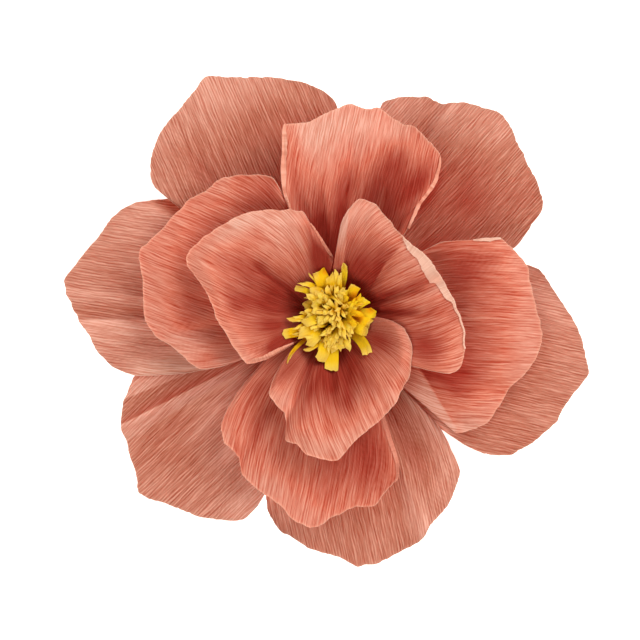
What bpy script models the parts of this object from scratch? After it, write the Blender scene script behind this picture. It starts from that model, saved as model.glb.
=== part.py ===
"""Crepe paper peony, lying face up.

Thirteen cut and gathered crepe petals are glued in three rings on a round card disc, one ring on the other.
In the middle stands a strip of yellow crepe, cut into a fringe along one edge and rolled up.
Sizes are in metres and angles in degrees. +Z is the flower's axis, and the origin is the centre of the
disc's back face.
"""

import math
import random
from collections import namedtuple

import bmesh
import bpy
from mathutils import Vector
from mathutils.bvhtree import BVHTree

# Paper and card
CREPE_THICKNESS = 0.0006
CARD_THICKNESS = 0.0025
GLUE_GAP = 0.0003

# Card disc that carries the flower
DISC_RADIUS = 0.036
DISC_BEVEL = 0.0004
DISC_SIDES = 40

# Rolled strip of the fringe. The turns of the roll lie ROLL_PITCH apart, round an eye in the middle.
ROLL_EYE_RADIUS = 0.0018
ROLL_RADIUS = 0.0098
ROLL_PITCH = 0.00135
ROLL_BAND_HEIGHT = 0.014
ROLL_MOST_TURN = 55

# Fingers of the fringe. They lean out from INNER_LEAN at the eye to OUTER_LEAN at the outermost turn.
FINGER_WIDTH = 0.0046
FINGER_SLIT = 0.0005
FINGER_LENGTH = 0.0215
FINGER_INNER_SHARE = 0.82
FINGER_LENGTH_SPREAD = 0.09
FINGER_ROWS = 4
FINGER_BENT_AT = 0.87
FINGER_FLATTENED = 0.6
FINGER_AIM_SPREAD = 6
FINGER_LEAN_SPREAD = 7
FINGER_TIP_SLANT = 0.0015
FINGER_SEED = 7
INNER_LEAN = 10
OUTER_LEAN = 76

# Where the petals start, outside the roll, and how their gathered feet spread into the fan
FOOT_CLEARANCE = 0.0012
FOOT_RADIUS = ROLL_RADIUS + CREPE_THICKNESS + FOOT_CLEARANCE
FOOT_SPREAD = 0.55
FAN_EASE = 2.6

# Gathers that run out from the foot of a petal
GATHER_HEIGHT = 0.0012
GATHER_REACH = 0.034
GATHER_STARTS = 0.12

# Shares of the way out at which the sides are fully cupped, the rim starts to curl and folds come in and go
CUPPED_AT = 0.67
CURL_STARTS = 0.78
FOLD_STARTS = 0.05
FOLD_FULL_AT = 0.35
FOLD_FADE = 0.3

# How far to each side a petal looks for paper below it, as a share of its distance from the axis
CLEAR_LOOK = 0.04
LOOK_ASIDE = [(dx, dy) for dx in (-1, 0, 1) for dy in (-1, 0, 1)]
CLEAR_GAP = 0.0005
SETTLE_PASSES = 12
LEAST_FLATNESS = 0.4
ABOVE_ALL = 1.0

RIM_STEPS = 8

# How far out each ring of petals goes in plan, and how high it stands over its feet
OUTER_REACH = 0.143
OUTER_RISE = 0.017
MIDDLE_REACH = 0.112
MIDDLE_RISE = 0.038
INNER_REACH = 0.074
INNER_RISE = 0.054

# One ring of petals
Layer = namedtuple("Layer", "name reach rise steepness columns rows pleats colour")
OUTER = Layer("outer", OUTER_REACH, OUTER_RISE, 2.0, columns=16, rows=7, pleats=4, colour=(0.60, 0.20, 0.13))
MIDDLE = Layer(
    "middle", MIDDLE_REACH, MIDDLE_RISE, 2.0, columns=18, rows=8, pleats=5, colour=(0.62, 0.17, 0.11)
)
INNER = Layer("inner", INNER_REACH, INNER_RISE, 2.1, columns=22, rows=9, pleats=6, colour=(0.66, 0.22, 0.14))

# A fold is a ridge, or a valley where its height is negative. The height is a share of the layer's rise. It
# runs out along one angle and fades at a share of the layer's reach.
Fold = namedtuple("Fold", "angle height width fades_at")

# rim holds (angle, share of the layer's reach) from one side of the cut edge to the other, anticlockwise.
# cup_first and cup_last are how far the two sides stand up, and curl is how far the very rim bends down, all
# as shares of the layer's rise.
Petal = namedtuple("Petal", "name layer rim cup_first cup_last curl folds")

# In the order in which they are laid down, so a later petal lies on an earlier one where they cross.
PETALS = (
    Petal(
        "outer_petal_2",
        OUTER,
        rim=(
            (17, 0.50), (20.7, 0.76), (24.4, 0.845), (27, 0.915), (32.7, 0.945), (38.4, 0.96),
            (44.4, 0.99), (49.4, 1.02), (52.8, 1.0), (58, 0.965), (61.8, 0.925), (66.4, 0.915),
            (75.8, 0.84), (79, 0.5),
        ),
        cup_first=0.176,
        cup_last=0.235,
        curl=0.118,
        folds=(Fold(62, -0.088, 3.5, 1.2), Fold(52, 0.059, 5, 1.2), Fold(35, 0.088, 6, 0.7)),
    ),
    Petal(
        "outer_petal_3",
        OUTER,
        rim=(
            (-46, 0.45), (-44.5, 0.60), (-43, 0.70), (-41, 0.785), (-36.5, 0.87), (-26, 0.945),
            (-17.4, 0.975), (-12.1, 1.013), (-8.4, 0.99), (-2.3, 0.95), (7.1, 0.863), (13, 0.82),
            (15.6, 0.76), (21, 0.5),
        ),
        cup_first=0.235,
        cup_last=0.176,
        curl=0.118,
        folds=(Fold(-25, -0.059, 6, 1.2), Fold(-5, 0.059, 5, 1.2)),
    ),
    Petal(
        "outer_petal_4",
        OUTER,
        rim=(
            (-113, 0.5), (-111, 0.66), (-107.7, 0.76), (-103.6, 0.822), (-94.7, 0.878), (-87.6, 0.908),
            (-83.4, 0.95), (-78.7, 0.95), (-73.2, 0.93), (-68, 0.92), (-63.6, 0.875), (-57.5, 0.845),
            (-49.4, 0.77), (-44.5, 0.60), (-43.5, 0.45),
        ),
        cup_first=0.176,
        cup_last=0.176,
        curl=0.176,
        folds=(Fold(-64, 0.147, 3, 1.2), Fold(-70, -0.088, 4, 1.2), Fold(-57, -0.059, 3, 0.9)),
    ),
    Petal(
        "outer_petal_5",
        OUTER,
        rim=(
            (-167, 0.5), (-166, 0.68), (-163.3, 0.765), (-157.9, 0.835), (-152, 0.89), (-147.9, 0.898),
            (-141.7, 0.935), (-136.9, 0.98), (-131, 0.934), (-122.3, 0.894), (-116.9, 0.862), (-112.8, 0.83),
            (-110.6, 0.76), (-105, 0.5),
        ),
        cup_first=0.059,
        cup_last=0.176,
        curl=0.059,
        folds=(Fold(-158, 0.165, 3.5, 1.2), Fold(-152, -0.118, 3, 1.2), Fold(-146, 0.141, 3.5, 1.2),
               Fold(-139, -0.088, 3.5, 0.8)),
    ),
    Petal(
        "outer_petal_6",
        OUTER,
        rim=(
            (140, 0.5), (141, 0.68), (143, 0.757), (149, 0.85), (152.8, 0.894), (160.9, 0.93), (172, 1.012),
            (180.7, 0.947), (184, 0.91), (187.9, 0.886), (192.7, 0.84), (196.6, 0.767), (200, 0.5),
        ),
        cup_first=-0.353,
        cup_last=0.118,
        curl=0.059,
        folds=(Fold(149, 0.147, 3, 1.2), Fold(174.5, 0.118, 2.5, 1.2), Fold(178.5, -0.147, 2.5, 1.2),
               Fold(183, 0.147, 3, 1.2)),
    ),
    Petal(
        "outer_petal_1",
        OUTER,
        rim=(
            (83, 0.50), (87.5, 0.80), (91, 0.86), (95, 0.89), (101, 0.93), (111, 0.98), (117, 1.03),
            (120.5, 1.0), (125, 0.975), (131, 0.95), (136, 0.92), (139.5, 0.885), (143, 0.82), (144, 0.5),
        ),
        cup_first=0.235,
        cup_last=0.176,
        curl=0.118,
        folds=(Fold(131, -0.147, 2.5, 1.0), Fold(136, 0.088, 3, 1.2)),
    ),
    Petal(
        "middle_petal_2",
        MIDDLE,
        rim=(
            (-43, 0.40), (-42.1, 0.63), (-41.9, 0.829), (-38.1, 0.871), (-33.5, 0.914), (-25, 0.924),
            (-21.7, 0.929), (-16.1, 0.976), (-10.3, 1.014), (-4.5, 1.027), (3.3, 0.995), (14.9, 0.98),
            (20.5, 0.94), (25, 0.90), (28.4, 0.78), (33.9, 0.648), (38, 0.40),
        ),
        cup_first=-0.237,
        cup_last=0.158,
        curl=0.079,
        folds=(Fold(-32, 0.105, 5, 1.2), Fold(-12, -0.039, 7, 1.0), Fold(12, 0.026, 5, 1.2)),
    ),
    Petal(
        "middle_petal_3",
        MIDDLE,
        rim=(
            (-146, 0.38), (-141.4, 0.54), (-138, 0.652), (-134.5, 0.733), (-129.5, 0.776), (-122.7, 0.798),
            (-118.6, 0.857), (-110.4, 0.895), (-104.7, 0.92), (-100.4, 0.971), (-95, 1.01), (-92.7, 1.0),
            (-89.4, 0.957), (-81.6, 0.912), (-76.3, 0.921), (-72.3, 0.876), (-66.8, 0.833), (-64.2, 0.767),
            (-62.9, 0.68), (-56, 0.40),
        ),
        cup_first=0.053,
        cup_last=0.474,
        curl=0.079,
        folds=(Fold(-122, -0.053, 4, 1.2), Fold(-88, -0.053, 6, 1.0), Fold(-104, 0.039, 6, 1.2)),
    ),
    Petal(
        "middle_petal_4",
        MIDDLE,
        rim=(
            (108, 0.40), (110.6, 0.66), (111.8, 0.72), (115.8, 0.756), (123, 0.812), (129, 0.843),
            (133.3, 0.84), (139.4, 0.871), (150.3, 0.894), (159.2, 0.952), (162.5, 0.948), (167.9, 0.91),
            (179, 0.883), (185.9, 0.833), (190, 0.76), (199.6, 0.681), (202, 0.657), (204.4, 0.565),
            (207, 0.38),
        ),
        cup_first=0.421,
        cup_last=0.184,
        curl=0.079,
        folds=(Fold(185, -0.105, 4, 1.2), Fold(150, 0.026, 6, 1.2), Fold(168, 0.039, 5, 1.0)),
    ),
    Petal(
        "middle_petal_1",
        MIDDLE,
        rim=(
            (46, 0.42), (48, 0.557), (52, 0.69), (52.3, 0.824), (55.3, 0.938), (59.4, 0.962), (65.6, 1.0),
            (70, 0.993), (76.3, 1.03), (81.1, 1.017), (83.7, 1.033), (87.8, 1.0), (95.5, 0.943),
            (102.8, 0.943), (105.2, 0.833), (107.7, 0.733), (109.6, 0.632), (110, 0.42),
        ),
        cup_first=0.526,
        cup_last=0.132,
        curl=0.105,
        folds=(Fold(83.5, -0.092, 4, 0.85), Fold(90, 0.039, 3, 0.8), Fold(97, -0.026, 3, 1.0)),
    ),
    Petal(
        "inner_petal_1",
        INNER,
        rim=(
            (85.4, 0.44), (95.7, 0.586), (100.7, 0.69), (104, 0.79), (117.4, 0.869), (129, 0.964),
            (142, 1.033), (153.4, 1.10), (157.2, 1.107), (160, 1.07), (164.4, 0.957), (170.5, 0.862),
            (182.6, 0.786), (199.6, 0.70), (208.8, 0.668), (213.3, 0.546), (217.7, 0.28),
        ),
        cup_first=0.037,
        cup_last=0.074,
        curl=0.074,
        folds=(Fold(142, -0.083, 5, 0.72), Fold(149, 0.019, 3, 0.7), Fold(168, -0.083, 13, 0.85),
               Fold(125, 0.028, 7, 1.2)),
    ),
    Petal(
        "inner_petal_2",
        INNER,
        rim=(
            (-34, 0.45), (-30, 0.686), (-27.7, 0.80), (-24.8, 0.95), (-20.5, 1.0), (-13.6, 1.0),
            (-4.2, 0.964), (7.2, 0.907), (21, 0.857), (34, 0.818), (46.5, 0.786), (61.8, 0.829),
            (67.4, 0.871), (75.4, 0.879), (79.5, 0.786), (82.2, 0.686), (84, 0.40),
        ),
        cup_first=0.056,
        cup_last=0.056,
        curl=0.037,
        folds=(Fold(19, -0.074, 4.5, 1.2), Fold(5, -0.046, 4, 0.8), Fold(40, -0.037, 5, 0.65),
               Fold(72, -0.056, 4, 1.1)),
    ),
    Petal(
        "inner_petal_3",
        INNER,
        rim=(
            (-139, 0.28), (-138, 0.393), (-133, 0.564), (-127.9, 0.697), (-122.4, 0.719), (-115, 0.757),
            (-112.3, 0.80), (-109.3, 0.925), (-103.7, 0.934), (-100, 0.979), (-95.7, 1.005), (-86.3, 1.007),
            (-80.9, 0.904), (-67.9, 0.814), (-54.3, 0.783), (-35.6, 0.711), (-18.5, 0.629), (-7.5, 0.547),
            (-1.8, 0.443), (2.5, 0.32),
        ),
        cup_first=0.037,
        cup_last=0.074,
        curl=0.074,
        folds=(Fold(-113, -0.074, 5, 1.2), Fold(-86, -0.037, 5, 0.7), Fold(-70, -0.037, 5, 0.7),
               Fold(-50, 0.019, 6, 1.0)),
    ),
)

CARD_WHITE = (0.80, 0.76, 0.70)
CARD_ROUGHNESS = 0.85
FRINGE_YELLOW = (0.86, 0.56, 0.03)
CREPE_ROUGHNESS = 0.8


def clear_scene():
    for found in list(bpy.data.objects):
        bpy.data.objects.remove(found)


def smooth_step(low, high, value):
    share = min(1.0, max(0.0, (value - low) / (high - low)))
    return share * share * (3 - 2 * share)


def matte(name, colour, roughness):
    material = bpy.data.materials.new(name)
    material.use_nodes = True
    shader = material.node_tree.nodes["Principled BSDF"]
    shader.inputs["Base Color"].default_value = (*colour, 1.0)
    shader.inputs["Roughness"].default_value = roughness
    shader.inputs["Metallic"].default_value = 0.0
    return material


def add_object(name, mesh, material):
    made = bpy.data.objects.new(name, mesh)
    made.data.materials.append(material)
    bpy.context.scene.collection.objects.link(made)
    return made


def add_sheet(name, points, faces, material):
    """A sheet of crepe from its middle surface, given its thickness by a Solidify modifier."""
    mesh = bpy.data.meshes.new(name)
    mesh.from_pydata(points, [], faces)
    mesh.shade_smooth()
    made = add_object(name, mesh, material)
    thickness = made.modifiers.new("crepe thickness", "SOLIDIFY")
    thickness.thickness = CREPE_THICKNESS
    thickness.offset = 0.0
    return made


def build_disc(material):
    """The card disc, from the table up, with its edges just broken."""
    mesh = bpy.data.meshes.new("back_disc")
    shape = bmesh.new()
    round_plate = dict(segments=DISC_SIDES, radius1=DISC_RADIUS, radius2=DISC_RADIUS, depth=CARD_THICKNESS)
    bmesh.ops.create_cone(shape, cap_ends=True, **round_plate)
    bmesh.ops.translate(shape, verts=shape.verts, vec=(0, 0, CARD_THICKNESS / 2))
    rims = [edge for edge in shape.edges if abs(edge.verts[0].co.z - edge.verts[1].co.z) < DISC_BEVEL]
    bmesh.ops.bevel(shape, geom=rims, offset=DISC_BEVEL, segments=1, affect="EDGES")
    shape.to_mesh(mesh)
    shape.free()
    return add_object("back_disc", mesh, material)


def catmull_rom(before, start, end, after, share):
    """A point between start and end on a smooth line that also passes through before and after."""
    return 0.5 * (
        2 * start
        + (end - before) * share
        + (2 * before - 5 * start + 4 * end - after) * share**2
        + (3 * start - before - 3 * end + after) * share**3
    )


def rim_corners(petal, heading):
    """The rim's own points in plan, with the petal's heading along +X."""
    corners = []
    for angle, share in petal.rim:
        turn = math.radians(angle - heading)
        corners.append(petal.layer.reach * share * Vector((math.cos(turn), math.sin(turn))))
    return corners


def smooth_line(corners):
    """Closely spaced points on a smooth line through the corners."""
    line = []
    for i in range(len(corners) - 1):
        around = [corners[max(0, min(len(corners) - 1, i + k))] for k in (-1, 0, 1, 2)]
        line += [catmull_rom(*around, step / RIM_STEPS) for step in range(RIM_STEPS)]
    return line + [corners[-1]]


def spread_along(line, count):
    """count + 1 points at even distances along a line of points."""
    lengths = [0.0]
    for first, second in zip(line, line[1:]):
        lengths.append(lengths[-1] + (second - first).length)
    spread, i = [], 0
    for step in range(count + 1):
        wanted = lengths[-1] * step / count
        while i < len(line) - 2 and lengths[i + 1] < wanted:
            i += 1
        share = (wanted - lengths[i]) / (lengths[i + 1] - lengths[i])
        spread.append(line[i].lerp(line[i + 1], share))
    return spread


def rim_points(petal, heading):
    """Where the columns end: evenly along the cut edge, with the nearest one moved to each corner of it."""
    corners = rim_corners(petal, heading)
    ends = spread_along(smooth_line(corners), petal.layer.columns)
    for corner in corners[1:-1]:
        nearest = min(range(1, len(ends) - 1), key=lambda j: (ends[j] - corner).length)
        ends[nearest] = corner
    return ends


def petal_height(petal, half_width, turn, radius, across, along):
    """How high the petal wants to stand over its foot, before it meets what lies below it.

    turn is measured from the petal's heading and radius from the axis. across runs from 0 to 1 over the
    gathers of the foot, and along from 0 at the foot to 1 at the rim.
    """
    layer = petal.layer
    out = (radius - FOOT_RADIUS) / (layer.reach - FOOT_RADIUS)
    height = layer.rise * (1 - max(0.0, 1 - out) ** layer.steepness)
    side = turn / half_width
    cup = petal.cup_first if side < 0 else petal.cup_last
    height += layer.rise * cup * side * side * min(1.0, out / CUPPED_AT)
    height -= layer.rise * petal.curl * smooth_step(CURL_STARTS, 1.0, along) ** 2
    for fold in petal.folds:
        off = (turn - fold.angle) / fold.width
        fade = smooth_step(FOLD_STARTS, FOLD_FULL_AT, out)
        fade *= 1 - smooth_step(fold.fades_at - FOLD_FADE, fold.fades_at, out)
        height += layer.rise * fold.height * math.exp(-off * off) * fade
    left = max(0.0, 1 - (radius - FOOT_RADIUS) / GATHER_REACH)
    gather = math.sin(2 * math.pi * layer.pleats * across)
    return height + GATHER_HEIGHT * (gather + 1) * left**2 * smooth_step(0.0, GATHER_STARTS, along)


def petal_grid(petal):
    """The petal's middle surface as columns of points from its foot to its rim, before it is laid down."""
    first, last = petal.rim[0][0], petal.rim[-1][0]
    heading = (first + last) / 2
    half_width = (last - first) / 2
    local = petal._replace(folds=[fold._replace(angle=fold.angle - heading) for fold in petal.folds])
    rows = petal.layer.rows
    grid = []
    for j, rim in enumerate(rim_points(petal, heading)):
        rim_turn = math.degrees(math.atan2(rim.y, rim.x))
        column = []
        for i in range(rows + 1):
            along = i / rows
            turn = rim_turn * (FOOT_SPREAD + (1 - FOOT_SPREAD) * (1 - (1 - along) ** FAN_EASE))
            radius = FOOT_RADIUS + (rim.length - FOOT_RADIUS) * along
            height = petal_height(local, half_width, turn, radius, j / petal.layer.columns, along)
            angle = math.radians(heading + turn)
            column.append(Vector((radius * math.cos(angle), radius * math.sin(angle), height)))
        grid.append(column)
    return grid


def height_to_clear(point, laid):
    """The lowest height at which the paper here clears the disc and every petal laid down before it."""
    radius = math.hypot(point.x, point.y)
    lowest = CARD_THICKNESS + GLUE_GAP + CREPE_THICKNESS / 2 if radius < DISC_RADIUS else 0.0
    look = CLEAR_LOOK * radius
    for dx, dy in LOOK_ASIDE:
        start = Vector((point.x + dx * look, point.y + dy * look, ABOVE_ALL))
        for tree in laid:
            place, normal, _, _ = tree.ray_cast(start, Vector((0, 0, -1)))
            if place is not None:
                flatness = max(LEAST_FLATNESS, abs(normal.z))
                lowest = max(lowest, place.z + (CREPE_THICKNESS + CLEAR_GAP) / flatness)
    return lowest


def settled(lift, need):
    """One pass of smoothing over the lift of a petal's columns, which nowhere falls below what is needed."""
    last_column = len(lift) - 1
    smoothed = []
    for j, column in enumerate(lift):
        before, after = lift[max(j - 1, 0)], lift[min(j + 1, last_column)]
        inner, outer = [column[0]] + column[:-1], column[1:] + [column[-1]]
        around = zip(need[j], before, after, inner, outer)
        smoothed.append([max(least, sum(lifts) / len(lifts)) for least, *lifts in around])
    return smoothed


def lay_down(grid, laid):
    """Sets the petal on what lies below it. It is lifted where it has to be, and smoothly around there."""
    base = CARD_THICKNESS + GLUE_GAP + CREPE_THICKNESS / 2
    need = [[max(0.0, height_to_clear(point, laid) - point.z - base) for point in column] for column in grid]
    lift = need
    for _ in range(SETTLE_PASSES):
        lift = settled(lift, need)
    for column, lifts in zip(grid, lift):
        for point, up in zip(column, lifts):
            point.z += base + up


def build_petal(petal, laid, material):
    """Lays one petal on those laid down before it, and adds its middle surface to them."""
    grid = petal_grid(petal)
    lay_down(grid, laid)
    rows = petal.layer.rows + 1
    points = [point for column in grid for point in column]
    faces = [
        (j * rows + i, j * rows + i + 1, (j + 1) * rows + i + 1, (j + 1) * rows + i)
        for j in range(petal.layer.columns)
        for i in range(petal.layer.rows)
    ]
    laid.append(BVHTree.FromPolygons(points, faces))
    return add_sheet(petal.name, points, faces, material)


def roll_radius(angle):
    return ROLL_EYE_RADIUS + ROLL_PITCH * angle / (2 * math.pi)


def roll_point(angle, height):
    radius = roll_radius(angle)
    return Vector((radius * math.cos(angle), radius * math.sin(angle), height))


def roll_stations():
    """Angles along the rolled strip, one list for each finger, close enough together to look round."""
    stations = []
    angle = 0.0
    end = 2 * math.pi * (ROLL_RADIUS - ROLL_EYE_RADIUS) / ROLL_PITCH
    while True:
        radius = roll_radius(angle)
        width = FINGER_WIDTH / radius
        if angle + width > end:
            return stations
        steps = max(1, math.ceil(width / math.radians(ROLL_MOST_TURN)))
        stations.append([angle + width * k / steps for k in range(steps + 1)])
        angle += width + FINGER_SLIT / radius


def finger_rows(stations, top, laid, rng):
    """Rows of points from a finger's root to its tip. It leans out, and rests on any petal that it meets."""
    middle = (stations[0] + stations[-1]) / 2
    outness = (roll_radius(middle) - ROLL_EYE_RADIUS) / (ROLL_RADIUS - ROLL_EYE_RADIUS)
    lean = INNER_LEAN + (OUTER_LEAN - INNER_LEAN) * outness
    lean = math.radians(lean + rng.uniform(-FINGER_LEAN_SPREAD, FINGER_LEAN_SPREAD))
    length = FINGER_LENGTH * (FINGER_INNER_SHARE + (1 - FINGER_INNER_SHARE) * outness)
    length *= 1 + rng.uniform(-FINGER_LENGTH_SPREAD, FINGER_LENGTH_SPREAD)
    heading = middle + math.radians(rng.uniform(-FINGER_AIM_SPREAD, FINGER_AIM_SPREAD))
    slant = rng.uniform(-FINGER_TIP_SLANT, FINGER_TIP_SLANT)
    out = Vector((math.cos(heading), math.sin(heading), 0))
    up = Vector((0, 0, 1))
    place = roll_point(middle, top)
    offsets = [roll_point(angle, top) - place for angle in stations]
    rows = []
    for i in range(1, FINGER_ROWS + 1):
        share = i / FINGER_ROWS
        bend = lean * min(1.0, share / FINGER_BENT_AT)
        along = up * math.cos(bend) + out * math.sin(bend)
        across = out * math.cos(bend) - up * math.sin(bend)
        place = place + along * (length / FINGER_ROWS)
        row = []
        for k, offset in enumerate(offsets):
            outward = offset.dot(out)
            row.append(place + offset - out * outward + across * outward * (1 - FINGER_FLATTENED * share))
            if i == FINGER_ROWS:
                row[-1] += along * slant * (k / (len(offsets) - 1) - 0.5)
        lift = max(0.0, max(height_to_clear(point, laid) - point.z for point in row))
        rows.append([point + up * lift for point in row])
    return rows


def build_roll(laid, material):
    """The rolled strip: a plain band at the bottom, whose top edge is cut into fingers."""
    rng = random.Random(FINGER_SEED)
    bottom = CARD_THICKNESS + GLUE_GAP
    top = bottom + ROLL_BAND_HEIGHT
    points, faces = [], []
    last_low = last_high = None
    for stations in roll_stations():
        low = list(range(len(points), len(points) + len(stations)))
        high = [index + len(stations) for index in low]
        points += [roll_point(angle, height) for height in (bottom, top) for angle in stations]
        if last_low is not None:
            faces.append((last_low, low[0], high[0], last_high))
        faces += [(low[k], low[k + 1], high[k + 1], high[k]) for k in range(len(low) - 1)]
        last_low, last_high = low[-1], high[-1]
        below = high
        for row in finger_rows(stations, top, laid, rng):
            here = list(range(len(points), len(points) + len(row)))
            points += row
            faces += [(below[k], below[k + 1], here[k + 1], here[k]) for k in range(len(row) - 1)]
            below = here
    return add_sheet("stamen_roll", points, faces, material)


def main():
    clear_scene()
    build_disc(matte("white card", CARD_WHITE, CARD_ROUGHNESS))
    crepes = {}
    for layer in (OUTER, MIDDLE, INNER):
        crepes[layer] = matte(f"{layer.name} crepe", layer.colour, CREPE_ROUGHNESS)
    laid = []
    for petal in PETALS:
        build_petal(petal, laid, crepes[petal.layer])
    build_roll(laid, matte("fringe crepe", FRINGE_YELLOW, CREPE_ROUGHNESS))


main()
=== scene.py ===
"""Crepe paper peony: the finished paper with its fine folds, and the fringe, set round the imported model.

Sizes are in metres and angles in degrees. The flower lies face up, and the camera looks straight down on it.
"""

import math
import random
from collections import namedtuple

import bpy
import numpy as np
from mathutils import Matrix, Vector
from mathutils.bvhtree import BVHTree


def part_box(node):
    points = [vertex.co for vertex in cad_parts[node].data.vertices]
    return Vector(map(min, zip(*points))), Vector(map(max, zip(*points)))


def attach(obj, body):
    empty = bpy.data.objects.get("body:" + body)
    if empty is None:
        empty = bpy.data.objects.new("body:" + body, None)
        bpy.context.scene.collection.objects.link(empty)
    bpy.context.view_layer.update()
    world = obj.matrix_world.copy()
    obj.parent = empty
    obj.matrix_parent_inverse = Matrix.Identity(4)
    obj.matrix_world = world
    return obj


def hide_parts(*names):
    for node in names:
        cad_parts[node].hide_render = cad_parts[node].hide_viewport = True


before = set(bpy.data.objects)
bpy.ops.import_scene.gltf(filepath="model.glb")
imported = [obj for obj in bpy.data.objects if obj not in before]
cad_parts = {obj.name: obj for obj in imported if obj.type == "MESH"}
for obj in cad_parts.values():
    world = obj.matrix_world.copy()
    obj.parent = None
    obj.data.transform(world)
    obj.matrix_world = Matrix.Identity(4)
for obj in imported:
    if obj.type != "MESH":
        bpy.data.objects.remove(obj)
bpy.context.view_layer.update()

# What the photo gives: how far a pixel is at the table, and where the flower's axis stands in it
PIXEL = 0.00055
AXIS_PIXEL = (328, 318)
FRAME_PIXELS = 640
CAMERA_HEIGHT = 1.5
SENSOR_WIDTH = 36

# Paper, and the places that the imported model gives
PAPER = 0.00032
DISC_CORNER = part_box("back_disc")[1]
DISC_TOP, DISC_RADIUS = DISC_CORNER.z, DISC_CORNER.x
ROLL_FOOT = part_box("stamen_roll")[0].z
ROLL_RADIUS = 0.0098
FOOT_RADIUS = 0.0116

# What petals are made of. A layer's pleats are those of its gathers; ridge, pitch and wave are its paper's.
Layer = namedtuple("Layer", "name reach rise steepness columns rows pleats ridge pitch wave")
OUTER = Layer("outer", 0.143, 0.017, 2.0, 420, 45, pleats=4, ridge=0.00013, pitch=0.0019, wave=0.0011)
MIDDLE = Layer("middle", 0.112, 0.038, 2.0, 340, 43, pleats=5, ridge=0.00011, pitch=0.0019, wave=0.0010)
INNER = Layer("inner", 0.074, 0.054, 2.1, 280, 40, pleats=6, ridge=0.00007, pitch=0.0016, wave=0.0007)

Fold = namedtuple("Fold", "angle height width fades_at")
# A crease runs straight in plan between two places, given as (angle, share of the reach), and falls off
# to each side.
# A crease's left and right tints are painted shade on each flank, and painted light where they are below
# zero.
Crease = namedtuple("Crease", "start end height left right left_tint right_tint", defaults=(0, 0))
# A lip is a stretch of the rim that is folded over onto the petal's face: its width at each angle, and the
# painted shade of its paper, painted light where below zero, or None where the pale back of the paper shows.
Lip = namedtuple("Lip", "widths tint", defaults=(None,))
# Each of these is a soft patch of painted shade, a deeper colour, or of painted light, a paler colour, where
# its strength is below zero.
Flush = namedtuple("Flush", "angle share wide long strength")
Petal = namedtuple("Petal", "name layer rim cup_first cup_last curl folds creases flushes lips")


def cut_petal(name, layer, cups, curl, rim, folds, creases=(), flushes=(), lips=()):
    """A petal from plain rows: each gives the values of its Fold, Crease, patch of painted shade or Lip in
    their order.

    The rim's rows are corners of the cut edge, as (angle, share of the layer's reach).
    """
    kinds = ((Fold, folds), (Crease, creases), (Flush, flushes), (Lip, lips))
    return Petal(name, layer, rim, *cups, curl, *([kind(*row) for row in rows] for kind, rows in kinds))


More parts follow.
